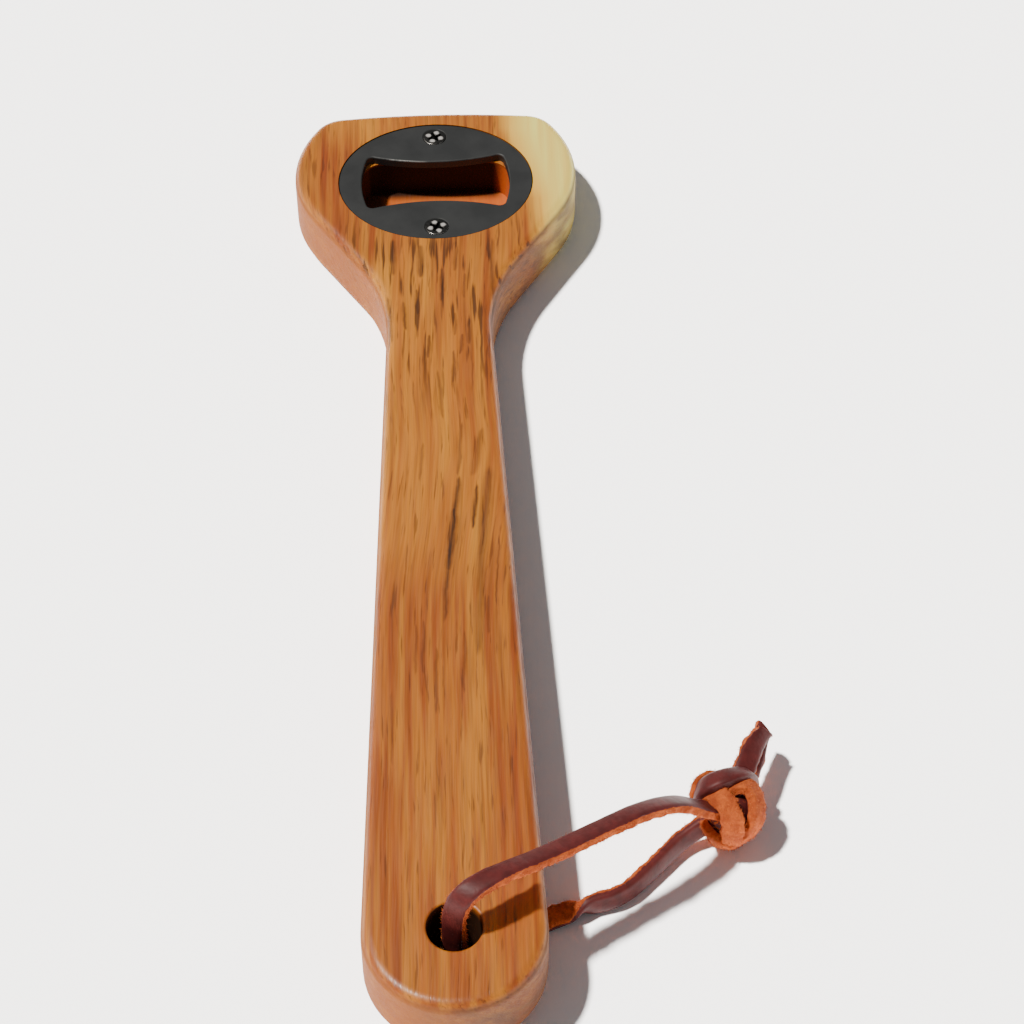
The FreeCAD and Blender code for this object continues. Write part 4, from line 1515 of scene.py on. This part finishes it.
    def _thread(self) -> Mesh:
        """Wind the thread, from under the head to the point.

        Returns:
            The thread's mesh.
        """
        start = -self.length + 0.5 * self.point
        end = -self.rim - self.head_radius + self.root_radius - 0.6 * MM
        settings = {
            "Turns": (end - start) / self.pitch,
            "Start Radius": self.root_radius * 0.75,
            "End Radius": self.root_radius,
            "Rise": end - start,
            "Ridge": self.thread_radius - self.root_radius,
            "Finish": self.finish,
        }
        made = run_nodes(bpy.data.meshes.new("thread_base"), make_thread_tree(), settings)
        made.transform(Matrix.Translation((0.0, 0.0, start)))
        return made


# ---------------------------------------------------------------- paddle and plate


@dataclass
class Paddle:
    """The wooden paddle and its steel plate, whose shapes come with the frame."""

    effects: Effects
    hole: Vector
    pocket_half_width: float = 18.0 * MM
    pocket_half_height: float = 9.4 * MM
    pocket_roof: float = 13.0 * MM
    pocket_floor: float = 4.3 * MM

    def dress(self) -> None:
        """Give the two nodes their finishes."""
        low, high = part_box("opener_plate")
        centre = (low + high) / 2
        half = Vector((self.pocket_half_width, self.pocket_half_height, 0.0))
        pocket = (
            Vector((centre.x, centre.y, self.pocket_floor)) - half,
            Vector((centre.x, centre.y, self.pocket_roof)) + half,
        )
        worn_at = Vector((centre.x - 7.0 * MM, centre.y + 7.6 * MM, high.z))
        finishes = {
            "wood_body": OiledWood(self.effects, pocket, self.hole).build(),
            "opener_plate": CoatedSteel(self.effects, worn_at).build(),
        }
        for node, material in finishes.items():
            mesh = frame["nodes"][node].data
            mesh.materials.clear()
            mesh.materials.append(material)
            LOG.info("%s: %s", node, material.name)


# ---------------------------------------------------------------- studio


@dataclass
class Studio:
    """A pale floor, a soft key from the left, a weak fill and the camera."""

    camera_offset: Point = (1.436, -243.46, 389.9)
    camera_pitch: float = 48.642
    camera_yaw: float = 2.118
    lens: float = 87.89
    key_direction: Point = (-0.45, 0.05, 0.89)
    key_power: float = 4.2
    floor_power: float = 13.5
    key_spread: float = 4.0
    sky: float = 0.25
    floor_size: float = 3.0
    floor_colour: Colour = (0.86, 0.86, 0.87, 1.0)
    sun_colour: Point = (1.0, 0.965, 0.91)
    sky_colour: Colour = (0.93, 0.96, 1.0, 1.0)

    def build(self, hole_top: Vector) -> None:
        """Build the floor, the lights and the camera.

        Args:
            hole_top: the middle of the lanyard hole's top, which the camera is placed from.
        """
        self._add_lights(self._add_floor())
        camera = bpy.data.cameras.new("camera")
        camera.lens = self.lens
        holder = bpy.data.objects.new("camera", camera)
        bpy.context.scene.collection.objects.link(holder)
        holder.location = hole_top + Vector(self.camera_offset) * MM
        holder.rotation_euler = (math.radians(90 - self.camera_pitch), 0.0, -math.radians(self.camera_yaw))
        bpy.context.scene.camera = holder

    def _add_floor(self) -> Piece:
        """Add a plain pale floor at the height that the object stands on.

        Returns:
            The floor.
        """
        half = self.floor_size / 2
        corners = [(-half, -half, 0.0), (half, -half, 0.0), (half, half, 0.0), (-half, half, 0.0)]
        mesh = bpy.data.meshes.new("floor")
        mesh.from_pydata(corners, [], [(0, 1, 2, 3)])
        material, graph, shader = new_material("floor_cloth")
        graph.fill(shader, {"Base Color": self.floor_colour, "Roughness": 0.95})
        mesh.materials.append(material)
        floor = add_object("floor", mesh)
        return floor

    def _add_lights(self, floor: Piece) -> None:
        """Add a soft sun from the left, a second one for the floor alone, and an even pale sky.

        Args:
            floor: the floor, which the second sun lights alone.
        """
        self._add_sun("key", self.key_power)
        backdrop = self._add_sun("floor_key", self.floor_power)
        lit = bpy.data.collections.new("floor_only")
        lit.objects.link(floor)
        backdrop.light_linking.receiver_collection = lit
        world = bpy.data.worlds.new("studio")
        world.use_nodes = True
        background = world.node_tree.nodes["Background"]
        background.inputs["Color"].default_value = self.sky_colour
        background.inputs["Strength"].default_value = self.sky
        bpy.context.scene.world = world

    def _add_sun(self, name: str, power: float) -> Piece:
        """Add a soft sun from the key's direction.

        Args:
            name: the light's name.
            power: its strength.

        Returns:
            The light's object.
        """
        sun = bpy.data.lights.new(name, "SUN")
        sun.energy = power
        sun.angle = math.radians(self.key_spread)
        sun.color = self.sun_colour
        holder = bpy.data.objects.new(name, sun)
        holder.rotation_mode = "QUATERNION"
        holder.rotation_quaternion = Vector(self.key_direction).to_track_quat("Z", "Y")
        bpy.context.scene.collection.objects.link(holder)
        return holder


def main() -> None:
    """Build the pieces in order and report each one."""
    logging.basicConfig(level=logging.INFO, format="%(name)s: %(message)s")
    axis = Vector(frame["record"]["mounts"][0]["axis"])
    effects = Effects.build()
    hole_top = lanyard_pivot() + axis * HALF_THICKNESS
    Paddle(effects, hole_top).dress()
    nickel = NickelWithPaintedGlints(effects).build()
    for node, turn in (("screw_head_side", 25.0), ("screw_handle_side", 65.0)):
        CrossScrew(node, turn, nickel).build(axis)
    WristLace(LaceLeather(effects).build(), LooseFibre(effects).build(), LaceCut()).build()
    Studio().build(hole_top)
    LOG.info("size file written")


if __name__ == "__main__":
    main()
